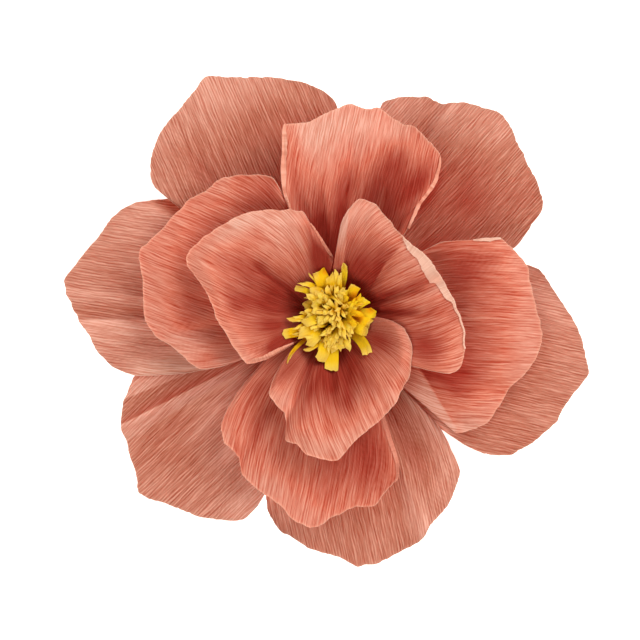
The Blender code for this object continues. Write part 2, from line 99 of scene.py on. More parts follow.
# In the order in which they are laid down
PETALS = (
    cut_petal(
        "outer_petal_2", OUTER, cups=(0.003, 0.004), curl=0.002,
        rim=((17, 0.5), (20.7, 0.76), (24.4, 0.845), (27, 0.915), (32.7, 0.945), (38.4, 0.96), (44.4, 0.99),
             (49.4, 1.02), (52.8, 1.0), (58, 0.965), (61.8, 0.925), (66.4, 0.915), (75.8, 0.84), (79, 0.5)),
        folds=((62, -0.0015, 3.5, 1.2), (52, 0.001, 5, 1.2), (35, 0.0015, 6, 0.7)),
        creases=(((64.2, 0.55), (62.5, 1.2), -0.0016, 0.004, 0.003),
                 ((61.6, 0.65), (59.9, 1.2), 0.0014, 0.0025, 0.0035),
                 ((39.6, 0.55), (40.3, 1.2), 0.0011, 0.003, 0.003),
                 ((51, 0.5), (50, 1.2), -0.0009, 0.005, 0.003)),
        flushes=((52, 0.66, 16, 0.2, 0.5), (55, 0.64, 5, 0.12, 0.35), (36, 0.76, 16, 0.28, 0.28),
                 (61, 0.92, 4, 0.2, -0.4), (48, 0.98, 5, 0.1, -0.35), (53.5, 0.8, 3, 0.1, -0.35),
                 (33, 0.52, 6, 0.1, 0.45), (36, 0.45, 4, 0.05, 0.5), (48.5, 0.67, 3, 0.1, -0.35),
                 (39.2, 0.69, 4, 0.06, 0.35), (51.5, 0.56, 3.5, 0.12, 0.85), (31, 0.88, 5, 0.08, 0.3),
                 (72.5, 0.85, 3.5, 0.08, -0.5)),
    ),
    cut_petal(
        "outer_petal_3", OUTER, cups=(0.004, 0.003), curl=0.002,
        rim=((-46, 0.45), (-44.5, 0.6), (-43, 0.7), (-41, 0.785), (-36.5, 0.87), (-26, 0.945),
             (-17.4, 0.975), (-12.1, 1.013), (-8.4, 0.99), (-2.3, 0.95), (7.1, 0.863), (13, 0.82),
             (15.6, 0.76), (21, 0.5)),
        folds=((-25, -0.001, 6, 1.2), (-5, 0.001, 5, 1.2)),
        creases=(((-24, 0.5), (-27, 1.2), 0.0009, 0.005, 0.003),
                 ((-10, 0.7), (-11, 1.2), 0.0008, 0.004, 0.003)),
        flushes=((-36, 0.76, 9, 0.2, 0.15), (-14, 0.85, 12, 0.2, 0.1), (4, 0.86, 5, 0.1, -0.35),
                 (-44.5, 0.54, 2.5, 0.12, -0.8), (-32, 0.89, 4, 0.08, 0.3)),
    ),
    cut_petal(
        "outer_petal_4", OUTER, cups=(0.003, 0.003), curl=0.003,
        rim=((-113, 0.5), (-111, 0.66), (-107.7, 0.76), (-103.6, 0.822), (-94.7, 0.878), (-87.6, 0.908),
             (-83.4, 0.95), (-78.7, 0.95), (-73.2, 0.93), (-68, 0.92), (-63.6, 0.875), (-57.5, 0.845),
             (-49.4, 0.77), (-44.5, 0.6), (-43.5, 0.45)),
        folds=((-64, 0.0025, 3, 1.2), (-70, -0.0015, 4, 1.2), (-57, -0.001, 3, 0.9)),
        creases=(((-63.4, 0.42), (-65.4, 1.2), 0.0038, 0.006, 0.011),
                 ((-86, 0.6), (-87, 1.2), 0.0008, 0.004, 0.003)),
        flushes=((-103, 0.72, 7, 0.2, -0.25), (-60, 0.62, 6, 0.2, 0.2), (-66, 0.9, 2.5, 0.25, -0.5),
                 (-47, 0.62, 5, 0.2, -0.4), (-88, 0.86, 25, 0.14, 0.12), (-44.5, 0.54, 2.5, 0.12, -0.8),
                 (-56, 0.81, 4, 0.1, -0.3)),
    ),
    cut_petal(
        "outer_petal_5", OUTER, cups=(0.001, 0.003), curl=0.001,
        rim=((-167, 0.5), (-166, 0.68), (-163.3, 0.765), (-157.9, 0.835), (-152, 0.89), (-147.9, 0.898),
             (-141.7, 0.935), (-136.9, 0.98), (-131, 0.934), (-122.3, 0.894), (-116.9, 0.862),
             (-112.8, 0.83), (-110.6, 0.76), (-105, 0.5)),
        folds=((-158.3, 0.0024, 3.2, 1.2), (-152.8, -0.001, 2.8, 1.2), (-147, 0.002, 3.5, 1.2),
               (-139, -0.0015, 3.5, 0.8)),
        creases=(((-158.3, 0.4), (-158.3, 1.2), 0.001, 0.0055, 0.007, 0.3, -0.3),
                 ((-152.3, 0.36), (-152.8, 1.2), -0.001, 0.0032, 0.0055, -0.95, 0.35),
                 ((-139, 0.38), (-140, 0.8), -0.0008, 0.003, 0.003, -0.1, -0.1),
                 ((-148.5, 0.36), (-148.5, 1.2), 0.0008, 0.003, 0.004, 0.15, 0)),
        flushes=((-114, 0.72, 6, 0.22, -0.5), (-145.5, 0.72, 3, 0.4, 0.25), (-162, 0.7, 3.0, 0.28, -0.45),
                 (-142, 0.5, 6, 0.14, -0.4), (-112, 0.74, 4, 0.2, -0.3), (-128, 0.62, 8, 0.15, -0.35),
                 (-150.6, 0.52, 2.0, 0.3, -0.6), (-146, 0.41, 6, 0.08, -0.6), (-125, 0.61, 4, 0.08, -0.4),
                 (-139.5, 0.57, 3, 0.14, -0.4), (-126.7, 0.65, 4, 0.08, -0.3),
                 (-132, 0.82, 22, 0.14, 0.12)),
    ),
    cut_petal(
        "outer_petal_6", OUTER, cups=(-0.006, 0.002), curl=0.001,
        rim=((140, 0.5), (141, 0.68), (143, 0.757), (149, 0.85), (152.8, 0.894), (160.9, 0.93),
             (172, 1.012), (180.7, 0.947), (184, 0.91), (187.9, 0.886), (192.7, 0.84), (196.6, 0.767),
             (198.6, 0.68), (200.7, 0.6), (203.5, 0.48)),
        folds=((149, 0.0025, 3, 1.2), (174.5, 0.0014, 2.5, 1.2), (178.5, -0.0014, 2.5, 1.2),
               (183, 0.0018, 3, 1.2)),
        creases=(((147.2, 0.5), (148.5, 1.2), 0.0016, 0.005, 0.002),
                 ((173.6, 0.5), (173.4, 1.3), 0.0006, 0.0035, 0.003, -0.5, 0),
                 ((180.8, 0.45), (180.4, 1.3), 0.0008, 0.004, 0.0022, -0.85, 0.1)),
        flushes=((144, 0.75, 3.6, 0.3, 0.55), (186, 0.78, 5, 0.3, -0.3), (196, 0.62, 5, 0.2, -0.9),
                 (166, 0.76, 14, 0.08, -0.3), (151, 0.79, 5, 0.12, -0.3), (182, 0.72, 2.5, 0.12, -0.35),
                 (151, 0.73, 3, 0.08, -0.35), (192, 0.79, 3, 0.07, 0.3), (198.5, 0.63, 3, 0.12, -0.6)),
    ),
    cut_petal(
        "outer_petal_1", OUTER, cups=(0.004, 0.003), curl=0.002,
        rim=((83, 0.5), (87.5, 0.8), (91, 0.86), (95, 0.89), (101, 0.93), (111, 0.98), (117, 1.03),
             (120.5, 1.0), (125, 0.975), (131, 0.95), (136, 0.92), (139.5, 0.885), (143, 0.82), (144, 0.5)),
        folds=((131, -0.0025, 2.5, 1.0), (136, 0.0015, 3, 1.2)),
        creases=(((129, 0.45), (132.6, 1.2), 0.0024, 0.0032, 0.005),),
        flushes=((100, 0.76, 11, 0.2, 0.35), (130, 0.76, 8, 0.14, 0.25), (113, 0.98, 14, 0.12, -0.45),
                 (111, 0.62, 3, 0.06, -0.3)),
    ),
    cut_petal(
        "middle_petal_2", MIDDLE, cups=(-0.009, 0.006), curl=0.003,
        rim=((-43, 0.4), (-42.1, 0.63), (-41.9, 0.829), (-38.1, 0.871), (-33.5, 0.914), (-25, 0.924),
             (-21.7, 0.929), (-16.1, 0.976), (-10.3, 1.014), (-4.5, 1.027), (3.3, 0.995), (14.9, 0.98),
             (20.5, 0.94), (25, 0.9), (28.4, 0.78), (33.9, 0.648), (38, 0.4)),
        folds=((-32, 0.0024, 5, 1.2), (-12, -0.0015, 7, 1.0), (12, 0.001, 5, 1.2)),
        creases=(((-26, 0.46), (-42, 0.87), 0.0019, 0.005, 0.008, 0.75, -0.8),
                 ((12, 0.55), (14, 1.1), -0.0009, 0.005, 0.005),
                 ((-12, 0.6), (-13, 1.1), 0.0008, 0.005, 0.006)),
        flushes=((20, 0.7, 13, 0.14, 0.7), (-26, 0.66, 7, 0.14, 0.45), (-20, 0.51, 10, 0.13, 0.75),
                 (0, 0.62, 22, 0.16, 0.6), (-5, 1.0, 25, 0.1, -0.3), (-41, 0.62, 4.5, 0.3, -0.9),
                 (-17, 0.72, 10, 0.2, 0.35), (-38, 0.88, 3, 0.1, -0.65), (10, 0.68, 4, 0.1, -0.4),
                 (-35, 0.62, 3, 0.1, -0.4), (-29, 0.48, 4, 0.05, 0.5), (-39, 0.5, 4, 0.05, 0.5),
                 (1, 0.69, 3, 0.08, -0.4), (7, 0.88, 5, 0.06, 0.4), (-29.5, 0.71, 3, 0.08, 0.35),
                 (20, 0.85, 4, 0.06, 0.35), (31, 0.62, 4, 0.1, 0.35)),
        lips=((((24.5, 0), (26.4, 0.0014), (28.3, 0)),),),
    ),
    cut_petal(
        "middle_petal_3", MIDDLE, cups=(0.002, 0.018), curl=0.003,
        rim=((-146, 0.38), (-141.4, 0.54), (-138, 0.652), (-134.5, 0.733), (-129.5, 0.776), (-122.7, 0.798),
             (-118.6, 0.857), (-110.4, 0.895), (-104.7, 0.92), (-100.4, 0.971), (-95, 1.01), (-92.7, 1.0),
             (-89.4, 0.957), (-81.6, 0.912), (-76.3, 0.921), (-72.3, 0.876), (-66.8, 0.833), (-64.2, 0.767),
             (-62.9, 0.68), (-56, 0.4)),
        folds=((-122, -0.002, 4, 1.2), (-88, -0.002, 6, 1.0), (-104, 0.0015, 6, 1.2)),
        creases=(((-92, 0.35), (-94, 1.2), -0.0022, 0.011, 0.0045),
                 ((-122, 0.4), (-121, 1.1), -0.0009, 0.004, 0.004)),
        flushes=((-76, 0.62, 12, 0.18, 0.7), (-128, 0.6, 13, 0.18, 0.15), (-98, 0.58, 14, 0.15, 0.6),
                 (-76, 0.81, 10, 0.12, 0.5), (-130, 0.66, 14, 0.1, 0.22), (-108, 0.76, 14, 0.1, 0.25),
                 (-101, 0.69, 6, 0.06, -0.55), (-109, 0.86, 4, 0.08, -0.4), (-94.7, 0.98, 4, 0.06, -0.35),
                 (-134, 0.48, 4, 0.06, 0.4), (-90.6, 0.86, 4, 0.06, 0.35), (-66, 0.7, 8, 0.14, 0.25)),
        lips=((((-68, 0), (-64.5, 0.0012), (-62, 0.0018), (-57, 0.0012)), 0.65),),
    ),
    cut_petal(
        "middle_petal_4", MIDDLE, cups=(0.016, 0.007), curl=0.003,
        rim=((108, 0.4), (110.6, 0.66), (111.8, 0.72), (115.8, 0.756), (123, 0.812), (129, 0.843),
             (133.3, 0.84), (139.4, 0.871), (150.3, 0.894), (159.2, 0.952), (162.5, 0.948), (167.9, 0.91),
             (179, 0.883), (185.9, 0.833), (190, 0.76), (199.6, 0.681), (202, 0.657), (204.4, 0.565),
             (207, 0.38)),
        folds=((185, -0.0026, 4, 1.2), (150, 0.001, 6, 1.2), (168, 0.0015, 5, 1.0)),
        creases=(((183.5, 0.42), (185.5, 1.2), -0.0012, 0.0045, 0.007),
                 ((150, 0.5), (151, 1.1), 0.0009, 0.005, 0.005)),
        flushes=((118, 0.69, 12, 0.15, 0.7), (146, 0.74, 14, 0.11, 0.45), (180, 0.64, 10, 0.14, 0.5),
                 (187, 0.7, 7, 0.2, -0.7), (187, 0.6, 4, 0.09, -0.2), (202, 0.5, 5, 0.14, -0.6),
                 (168, 0.66, 10, 0.09, 0.25), (181, 0.68, 3, 0.06, 0.35), (113, 0.68, 4, 0.06, 0.4),
                 (199.5, 0.61, 4, 0.06, 0.4), (130, 0.82, 12, 0.06, -0.25)),
    ),
    cut_petal(
        "middle_petal_1", MIDDLE, cups=(0.02, 0.005), curl=0.004,
        rim=((46, 0.42), (48, 0.557), (52, 0.69), (52.3, 0.824), (55.3, 0.938), (59.4, 0.962), (65.6, 1.0),
             (70, 0.993), (76.3, 1.03), (81.1, 1.017), (83.7, 1.033), (87.8, 1.0), (95.5, 0.943),
             (102.8, 0.943), (105.2, 0.833), (107.7, 0.733), (109.6, 0.632), (110, 0.42)),
        folds=((83.5, -0.0035, 4, 0.85), (90, 0.0015, 3, 0.8), (97, -0.001, 3, 1.0)),
        creases=(((80.7, 0.4), (82.2, 0.95), -0.0036, 0.005, 0.009),
                 ((90, 0.28), (93, 0.66), -0.0013, 0.002, 0.002),
                 ((98, 0.28), (99.5, 0.62), 0.0011, 0.002, 0.002),
                 ((86, 0.34), (87.4, 0.7), -0.0011, 0.0015, 0.002),
                 ((104, 0.5), (101, 0.85), -0.0007, 0.0016, 0.0016)),
        flushes=((85, 0.93, 18, 0.2, -0.75), (55.5, 0.8, 4, 0.16, 0.8), (94, 0.3, 14, 0.13, 0.8),
                 (65, 0.68, 12, 0.22, 1.0), (80, 0.4, 26, 0.18, 0.85), (83, 0.62, 4, 0.2, 0.35),
                 (103, 0.66, 4, 0.25, 0.4), (97, 0.4, 8, 0.16, 0.5), (66, 0.6, 3, 0.08, -0.45),
                 (80, 0.56, 3, 0.06, -0.35), (96.4, 0.95, 3, 0.08, -0.4), (67, 0.85, 4, 0.08, 0.45),
                 (50.5, 0.62, 2.5, 0.07, 0.7), (87, 0.43, 2.5, 0.08, -0.4), (81, 0.8, 3, 0.08, -0.4),
                 (103.5, 0.87, 2, 0.1, 0.3), (101, 0.87, 3, 0.08, 0.3), (69, 0.98, 3, 0.08, -0.6),
                 (95, 0.86, 4, 0.14, -0.4)),
        lips=((((102.3, 0), (104, 0.002), (108, 0.0022), (109.9, 0.0008)), -0.55),
              (((48.3, 0.0006), (52, 0.0016), (55.2, 0.0002)), -0.3)),
    ),
    cut_petal(
        "inner_petal_1", INNER, cups=(0.002, 0.004), curl=0.004,
        rim=((85.4, 0.44), (95.7, 0.586), (100.7, 0.69), (104, 0.79), (117.4, 0.869), (129, 0.964),
             (142, 1.033), (153.4, 1.1), (157.2, 1.107), (160, 1.07), (164.4, 0.957), (170.5, 0.862),
             (182.6, 0.786), (199.6, 0.7), (208.8, 0.668), (213.3, 0.546), (217.7, 0.28)),
        folds=((142, -0.003, 5, 0.72), (168, -0.0045, 13, 0.85), (149, 0.001, 3, 0.7),
               (125, 0.0015, 7, 1.2)),
        creases=(((145, 0.2), (144.5, 0.7), -0.0036, 0.004, 0.0032),
                 ((155.5, 0.2), (159, 0.7), -0.0022, 0.003, 0.004),
                 ((100, 0.4), (116, 0.56), -0.0015, 0.0025, 0.002)),
        flushes=((156, 0.36, 24, 0.2, 1.0), (168, 0.65, 15, 0.2, 0.5), (118, 0.72, 12, 0.2, -0.5),
                 (149, 0.67, 9, 0.18, 0.65), (209, 0.42, 9, 0.14, 0.75), (209, 0.36, 9, 0.1, 0.6),
                 (185, 0.47, 6, 0.12, 0.5), (109, 0.57, 5, 0.08, -0.45), (151, 0.9, 5, 0.08, 0.35),
                 (115, 0.78, 4, 0.08, -0.4), (139, 0.48, 4, 0.1, -0.4), (102, 0.6, 5, 0.16, 0.45),
                 (190, 0.39, 5, 0.08, 0.4), (199.5, 0.49, 4, 0.06, -0.35), (130, 0.96, 14, 0.1, -0.75),
                 (209, 0.42, 6, 0.08, 0.3), (100, 0.45, 12, 0.2, 0.8), (92, 0.42, 6, 0.14, 0.6),
                 (198, 0.48, 10, 0.14, 0.4)),
        lips=((((86.5, 0.0006), (93, 0.0008), (101, 0)), 0.2),
              (((209, 0), (211, 0.0016), (214, 0.002), (217, 0.0006)), -0.3)),
    ),
    cut_petal(
        "inner_petal_2", INNER, cups=(0.003, 0.003), curl=0.002,
        rim=((-34, 0.45), (-30, 0.686), (-27.7, 0.8), (-24.8, 0.95), (-20.5, 1.0), (-13.6, 1.0),
             (-4.2, 0.964), (7.2, 0.907), (21, 0.857), (34, 0.818), (46.5, 0.786), (61.8, 0.845),
             (67.4, 0.885), (75.4, 0.879), (79.5, 0.786), (82.2, 0.686), (84, 0.4)),
        folds=((19, -0.004, 4.5, 1.2), (5, -0.0025, 4, 0.8), (40, -0.002, 5, 0.65), (72, -0.003, 4, 1.1)),
        creases=(((22, 0.22), (18.4, 1.0), -0.0042, 0.0045, 0.003, 0.35, -0.15),
                 ((9, 0.45), (16.5, 1.0), 0.0013, 0.003, 0.004),
                 ((9, 0.2), (3.4, 0.7), -0.003, 0.0026, 0.0026, 0.45, 0.3),
                 ((4.4, 0.746), (-16, 0.755), 0.001, 0.006, 0.002),
                 ((22, 0.24), (44, 0.6), -0.003, 0.005, 0.004, 0.55, -0.4),
                 ((43, 0.5), (45, 0.85), -0.0012, 0.004, 0.004, 0.3, -0.2),
                 ((69, 0.28), (80.5, 1.0), 0.0022, 0.006, 0.0025, -0.35, 0.25)),
        flushes=((42, 0.32, 34, 0.17, 0.95), (4, 0.4, 16, 0.16, 0.65), (62, 0.51, 12, 0.14, 0.65),
                 (-19, 0.76, 10, 0.15, 0.7), (-14, 0.62, 12, 0.2, 0.6), (74, 0.7, 5, 0.3, -0.45),
                 (4, 0.77, 11, 0.1, 0.35), (15, 0.8, 3.5, 0.08, -0.45), (81, 0.6, 2.5, 0.16, -0.45),
                 (70, 0.77, 3, 0.1, -0.35), (1, 0.9, 6, 0.06, 0.6), (9, 0.86, 5, 0.06, 0.6),
                 (50, 0.6, 5, 0.08, 0.4), (53.7, 0.76, 4, 0.07, -0.35), (72.5, 0.57, 4, 0.06, 0.35),
                 (80, 0.43, 6, 0.08, 0.5)),
        lips=((((-13, 0.0001), (0, 0.0003), (6.8, 0.001), (10, 0.0026), (14.5, 0.0037), (18.6, 0.004),
              (20, 0.0068), (26, 0.0058), (32, 0.0044), (36, 0.0036), (40, 0.003), (44, 0.0015),
              (47.4, 0)),),),
    ),
    cut_petal(
        "inner_petal_3", INNER, cups=(0.002, 0.004), curl=0.004,
        rim=((-139, 0.28), (-138, 0.393), (-133, 0.564), (-127.9, 0.697), (-122.4, 0.719), (-115, 0.757),
             (-112.3, 0.8), (-109.3, 0.925), (-103.7, 0.934), (-100, 0.979), (-95.7, 1.005), (-86.3, 1.025),
             (-80.9, 0.935), (-67.9, 0.84), (-54.3, 0.79), (-35.6, 0.711), (-18.5, 0.629), (-7.5, 0.547),
             (-1.8, 0.443), (2.5, 0.32)),
        folds=((-113, -0.004, 5, 1.2), (-86, -0.002, 5, 0.7), (-70, -0.002, 5, 0.7), (-50, 0.001, 6, 1.0)),
        creases=(((-115.4, 0.18), (-111, 1.1), -0.0034, 0.0045, 0.0065),
                 ((-80, 0.22), (-73.8, 0.66), -0.0032, 0.003, 0.003),
                 ((-89, 0.2), (-86.5, 0.6), -0.0022, 0.003, 0.003),
                 ((-100, 0.5), (-99, 1.1), 0.0008, 0.003, 0.003)),
        flushes=((-75, 0.34, 34, 0.18, 0.95), (-40, 0.58, 12, 0.1, -0.1), (-93, 0.54, 17, 0.17, 0.7),
                 (-128, 0.47, 9, 0.12, 0.6), (-78, 0.93, 14, 0.1, -0.3), (-22, 0.42, 12, 0.14, 0.75),
                 (-117, 0.58, 3, 0.12, -0.5), (-105, 0.7, 4, 0.14, 0.4), (-80.5, 0.63, 5, 0.1, 0.4),
                 (-59, 0.54, 6, 0.12, 0.45), (-130, 0.6, 4, 0.1, 0.4), (-114.7, 0.69, 3, 0.08, -0.45),
                 (-76, 0.62, 4, 0.08, 0.3), (-104, 0.53, 4, 0.08, 0.35), (-42, 0.72, 5, 0.08, 0.4),
                 (-28, 0.68, 5, 0.08, 0.4)),
    ),
)


# Fields of numbers

def smooth_step(low, high, value):
    share = np.clip((value - low) / (high - low), 0.0, 1.0)
    return share * share * (3 - 2 * share)


LATTICE = 256


def value_noise(u, v, seed):
    """Smooth noise from -1 to 1, with one random value at each whole number of u and v."""
    lattice = np.random.default_rng(seed).uniform(-1, 1, (LATTICE, LATTICE))
    i, j = np.floor(u).astype(int), np.floor(v).astype(int)
    across, along = smooth_step(0, 1, u - i), smooth_step(0, 1, v - j)
    i, j = i % LATTICE, j % LATTICE
    after_i, after_j = (i + 1) % LATTICE, (j + 1) % LATTICE
    low = lattice[i, j] * (1 - across) + lattice[after_i, j] * across
    high = lattice[i, after_j] * (1 - across) + lattice[after_i, after_j] * across
    return low * (1 - along) + high * along


def refined(values, times):
    """The same field on a grid that is times finer, with straight lines between."""
    for axis in (0, 1):
        count = values.shape[axis]
        place = np.linspace(0, count - 1, (count - 1) * times + 1)
        low = np.minimum(place.astype(int), count - 2)
        share = place - low
        share = share[:, None] if axis == 0 else share[None, :]
        values = np.take(values, low, axis) * (1 - share) + np.take(values, low + 1, axis) * share
    return values


def blurred(values, rows, columns):
    """The mean of the field around each place."""
    for axis, reach in ((0, rows), (1, columns)):
        room = [(reach + 1, reach) if k == axis else (0, 0) for k in (0, 1)]
        total = np.cumsum(np.pad(values, room, mode="reflect", reflect_type="odd"), axis=axis)
        span, count = 2 * reach + 1, values.shape[axis]
        past = np.take(total, range(span, span + count), axis)
        values = (past - np.take(total, range(count), axis)) / span
    return values


def resampled(values, shape):
    """The same field on a grid of another shape, with straight lines between."""
    rows = np.linspace(0, values.shape[0] - 1, shape[0])
    columns = np.linspace(0, values.shape[1] - 1, shape[1])
    tall = np.array([np.interp(rows, np.arange(values.shape[0]), column) for column in values.T]).T
    return np.array([np.interp(columns, np.arange(values.shape[1]), row) for row in tall])


def eased(lift, need, passes):
    """Smooths a field that nowhere may fall below what is needed."""
    for _ in range(passes):
        wide = np.pad(lift, 1, mode="edge")
        around = wide[:-2, 1:-1] + wide[2:, 1:-1] + wide[1:-1, :-2] + wide[1:-1, 2:]
        lift = np.maximum(need, around / 4)
    return lift


def block_highest(values, size):
    """The highest value of each square block of the field."""
    rows, columns = (math.ceil(count / size) for count in values.shape)
    room = ((0, rows * size - values.shape[0]), (0, columns * size - values.shape[1]))
    return np.pad(values, room, "edge").reshape(rows, size, columns, size).max(axis=(1, 3))


# The square map of heights that petals are laid on

MAP_CELL = 0.00075
MAP_HALF = 0.162
RASTER_TIMES = 3


def new_ground():
    count = int(2 * MAP_HALF / MAP_CELL)
    place = (np.arange(count) + 0.5) * MAP_CELL - MAP_HALF
    x, y = np.meshgrid(place, place)
    return np.where(np.hypot(x, y) < DISC_RADIUS, DISC_TOP, 0.0)


def spread_high(ground, cells):
    """Each cell takes the highest value around it."""
    highest = ground.copy()
    for dy in range(-cells, cells + 1):
        for dx in range(-cells, cells + 1):
            if dx * dx + dy * dy <= cells * cells + 1:
                highest = np.maximum(highest, np.roll(ground, (dy, dx), (0, 1)))
    return highest


def read_ground(ground, x, y):
    """The map's height at each place."""
    u = np.clip((x + MAP_HALF) / MAP_CELL - 0.5, 0, ground.shape[1] - 2)
    v = np.clip((y + MAP_HALF) / MAP_CELL - 0.5, 0, ground.shape[0] - 2)
    i, j = u.astype(int), v.astype(int)
    across, along = u - i, v - j
    low = ground[j, i] * (1 - across) + ground[j, i + 1] * across
    high = ground[j + 1, i] * (1 - across) + ground[j + 1, i + 1] * across
    return low * (1 - along) + high * along


def raise_ground(ground, points):
    """Draws a sheet's upper side into the map where it is higher."""
    x, y, z = (refined(points[..., k], RASTER_TIMES) for k in range(3))
    i = np.clip(((x + MAP_HALF) / MAP_CELL).astype(int), 0, ground.shape[1] - 1)
    j = np.clip(((y + MAP_HALF) / MAP_CELL).astype(int), 0, ground.shape[0] - 1)
    np.maximum.at(ground, (j, i), z + PAPER / 2)


# Meshes

SHARP_ANGLE = 55


def mesh_object(name, points, faces, looks, materials, fields):
    """An object from arrays: points, four-cornered faces, a material number for each face, named fields."""
    mesh = bpy.data.meshes.new(name)
    mesh.vertices.add(len(points))
    mesh.vertices.foreach_set("co", points.astype(np.float32).ravel())
    mesh.loops.add(faces.size)
    mesh.loops.foreach_set("vertex_index", faces.astype(np.int32).ravel())
    mesh.polygons.add(len(faces))
    mesh.polygons.foreach_set("loop_start", np.arange(0, faces.size, 4, dtype=np.int32))
    mesh.polygons.foreach_set("material_index", looks.astype(np.int32))
    mesh.update(calc_edges=True)
    for field, values in fields.items():
        kind, key = ("FLOAT_VECTOR", "vector") if values.ndim == 2 else ("FLOAT", "value")
        made = mesh.attributes.new(field, kind, "POINT")
        made.data.foreach_set(key, values.astype(np.float32).ravel())
    for material in materials:
        mesh.materials.append(material)
    mesh.shade_smooth()
    mesh.set_sharp_from_angle(angle=math.radians(SHARP_ANGLE))
    made = bpy.data.objects.new(name, mesh)
    bpy.context.scene.collection.objects.link(made)
    return made


def grid_normals(points):
    across = np.gradient(points, axis=1)
    along = np.gradient(points, axis=0)
    normals = np.cross(along, across)
    return normals / np.maximum(np.linalg.norm(normals, axis=2, keepdims=True), 1e-12)


def grid_faces(rows, columns, first=0):
    """The faces of a grid of points that is stored row by row."""
    corner = first + np.arange(rows - 1)[:, None] * columns + np.arange(columns - 1)[None, :]
    corner = corner.ravel()
    return np.stack([corner, corner + columns, corner + columns + 1, corner + 1], axis=1)


def closed_sheet(points, thickness, first=0):
    """Points and faces of a sheet of paper from its middle surface, closed all round.

    The faces come as the front, the back and the cut edge. The front looks along the grid's normals.
    """
    rows, columns = points.shape[:2]
    half = grid_normals(points) * thickness / 2
    both = np.concatenate([(points + half).reshape(-1, 3), (points - half).reshape(-1, 3)])
    count = rows * columns
    front = grid_faces(rows, columns, first)
    back = grid_faces(rows, columns, first + count)[:, ::-1]
    index = np.arange(count).reshape(rows, columns) + first
    ring = np.concatenate([index[:-1, 0], index[-1, :-1], index[:0:-1, -1], index[0, :0:-1]])
    after = np.roll(ring, -1)
    edge = np.stack([after, ring, ring + count, after + count], axis=1)
    return both, front, back, edge


class Sheets:
    """Gathers closed sheets that together make one object."""

    def __init__(self):
        self.points, self.faces, self.looks, self.fields, self.count = [], [], [], {}, 0

    def add(self, points, thickness, front_look=0, back_look=1, **fields):
        both, front, back, edge = closed_sheet(points, thickness, self.count)
        self.points.append(both)
        for faces, look in ((front, front_look), (back, back_look), (edge, back_look)):
            self.faces.append(faces)
            self.looks.append(np.full(len(faces), look))
        for name, values in fields.items():
            flat = values.reshape(-1, 3) if values.ndim == 3 else values.ravel()
            self.fields.setdefault(name, []).append(np.concatenate([flat, flat]))
        self.count += len(both)

    def build(self, name, materials):
        fields = {field: np.concatenate(values) for field, values in self.fields.items()}
        points, faces = np.concatenate(self.points), np.concatenate(self.faces)
        return mesh_object(name, points, faces, np.concatenate(self.looks), materials, fields)


# Petals

# The cut edge: steps from corner to corner, how round it runs through them, and its small unevenness
RIM_STEPS = 24
RIM_ROUND = 0.5
RIM_NOISE = 0.00045
RIM_NOISE_LENGTH = 0.0045
FINER_NOISE, FINER_NOISE_SHARE = 2.7, 0.5
FIRST_SEED, SEED_STEP = 100, 10

# Rows of points are evenly spaced from the foot to a share of the way out, with two more for the edge. The
# fan is narrower at its foot, and opens on the way out.
EVEN_ROWS_END, EDGE_ROWS = 0.985, [0.993, 1.0]
FOOT_SPREAD = 0.55
FAN_EASE = 2.6

# Shares of the way out for cups, curl, folds and waves, and of a crease's length for its ends
CUPPED_AT = 0.67
CURL_STARTS = 0.78
FOLD_STARTS = 0.05
FOLD_FULL_AT = 0.35
FOLD_FADE = 0.3
WAVE_STARTS, WAVE_FULL_AT = 0.15, 0.9
CREASE_STARTS, CREASE_FULL_AT, CREASE_FADES = -0.1, 0.15, 0.75
CREASE_ROUNDING = 0.0006
CREASE_TINT_STEP = 0.0004
# Each wave is (how strong, degrees across, metres along)
WAVES = ((1.0, 9.0, 0.07), (0.5, 4.0, 0.05))

# Gathers at the foot, with finer ones over them
GATHER_HEIGHT = 0.0012
GATHER_REACH = 0.034
GATHER_STARTS = 0.12
GATHER_SWING, GATHER_MEAN, GATHER_FALL = 0.6, 0.8, 1.6
GATHER_WANDER, GATHER_WANDER_LENGTH, WANDERS_PER_PLEAT = 0.35, 0.012, 1.5
FINE_GATHERS, FINE_GATHER_SHARE, FINE_GATHER_SHIFT = 2.3, 0.5, 0.3

# The grain runs side by side far out and closes up towards the foot; ridges follow it
GRAIN_STARTS = 0.8
GRAIN_PARALLEL_AT = 0.62
GRAIN_FOOT_WIDTH = 0.16
GRAIN_EASE = 2.2
GRAIN_SHIFT = 0.01
RIDGE_LENGTH = 0.0150
RIDGES_FULL_AT = 0.1
# Each bend is (how far, pitches across, ridge lengths along)
RIDGE_BENDS = ((0.45, 1.6, 1.0), (0.22, 4.0, 0.5))
RIDGE_MEAN, RIDGE_SWING = 0.6, (0.4, 3.0, 1.5)

# The edge, with its painted highlight, and painted light and shade: painted shade in hollows, painted
# highlight on crests, deeper at the foot and paler at the rim, each partly the paper's own colour and partly
# painted
EDGE_RISE = 0.0003
EDGE_RISE_WIDTH = 0.0012
# A painted highlight along the cut edge, this wide
EDGE_HIGHLIGHT_WIDTH = 0.0012
HOLLOW_ROWS, HOLLOW_COLUMNS, HOLLOW_DEEP = 4, 24, 0.0016
# Painted shade in the hollows and painted highlight on the crests, measured against the blurred height
HOLLOW_PAINTED_SHADE, CREST_PAINTED_LIGHT = 0.28, 0.12
# Deeper towards the foot: partly the gathered paper's own deeper colour, partly painted shade deep in the cup
FOOT_TONE_AND_SHADE, FOOT_TONE_AND_SHADE_ENDS = 0.58, 0.5
# Paler towards the rim: partly the stretched paper's own paler colour, partly painted light
RIM_TONE_AND_LIGHT, PALES_FROM = 0.32, 0.72

# Laying one petal on another
FOOT_GAP = 0.0006
LAY_GAP = 0.0007
LAY_SLACK = 0.0003
LAY_SPREAD_CELLS = 1
COARSE = 8
COARSE_PASSES = 90
FINE_PASSES = 60

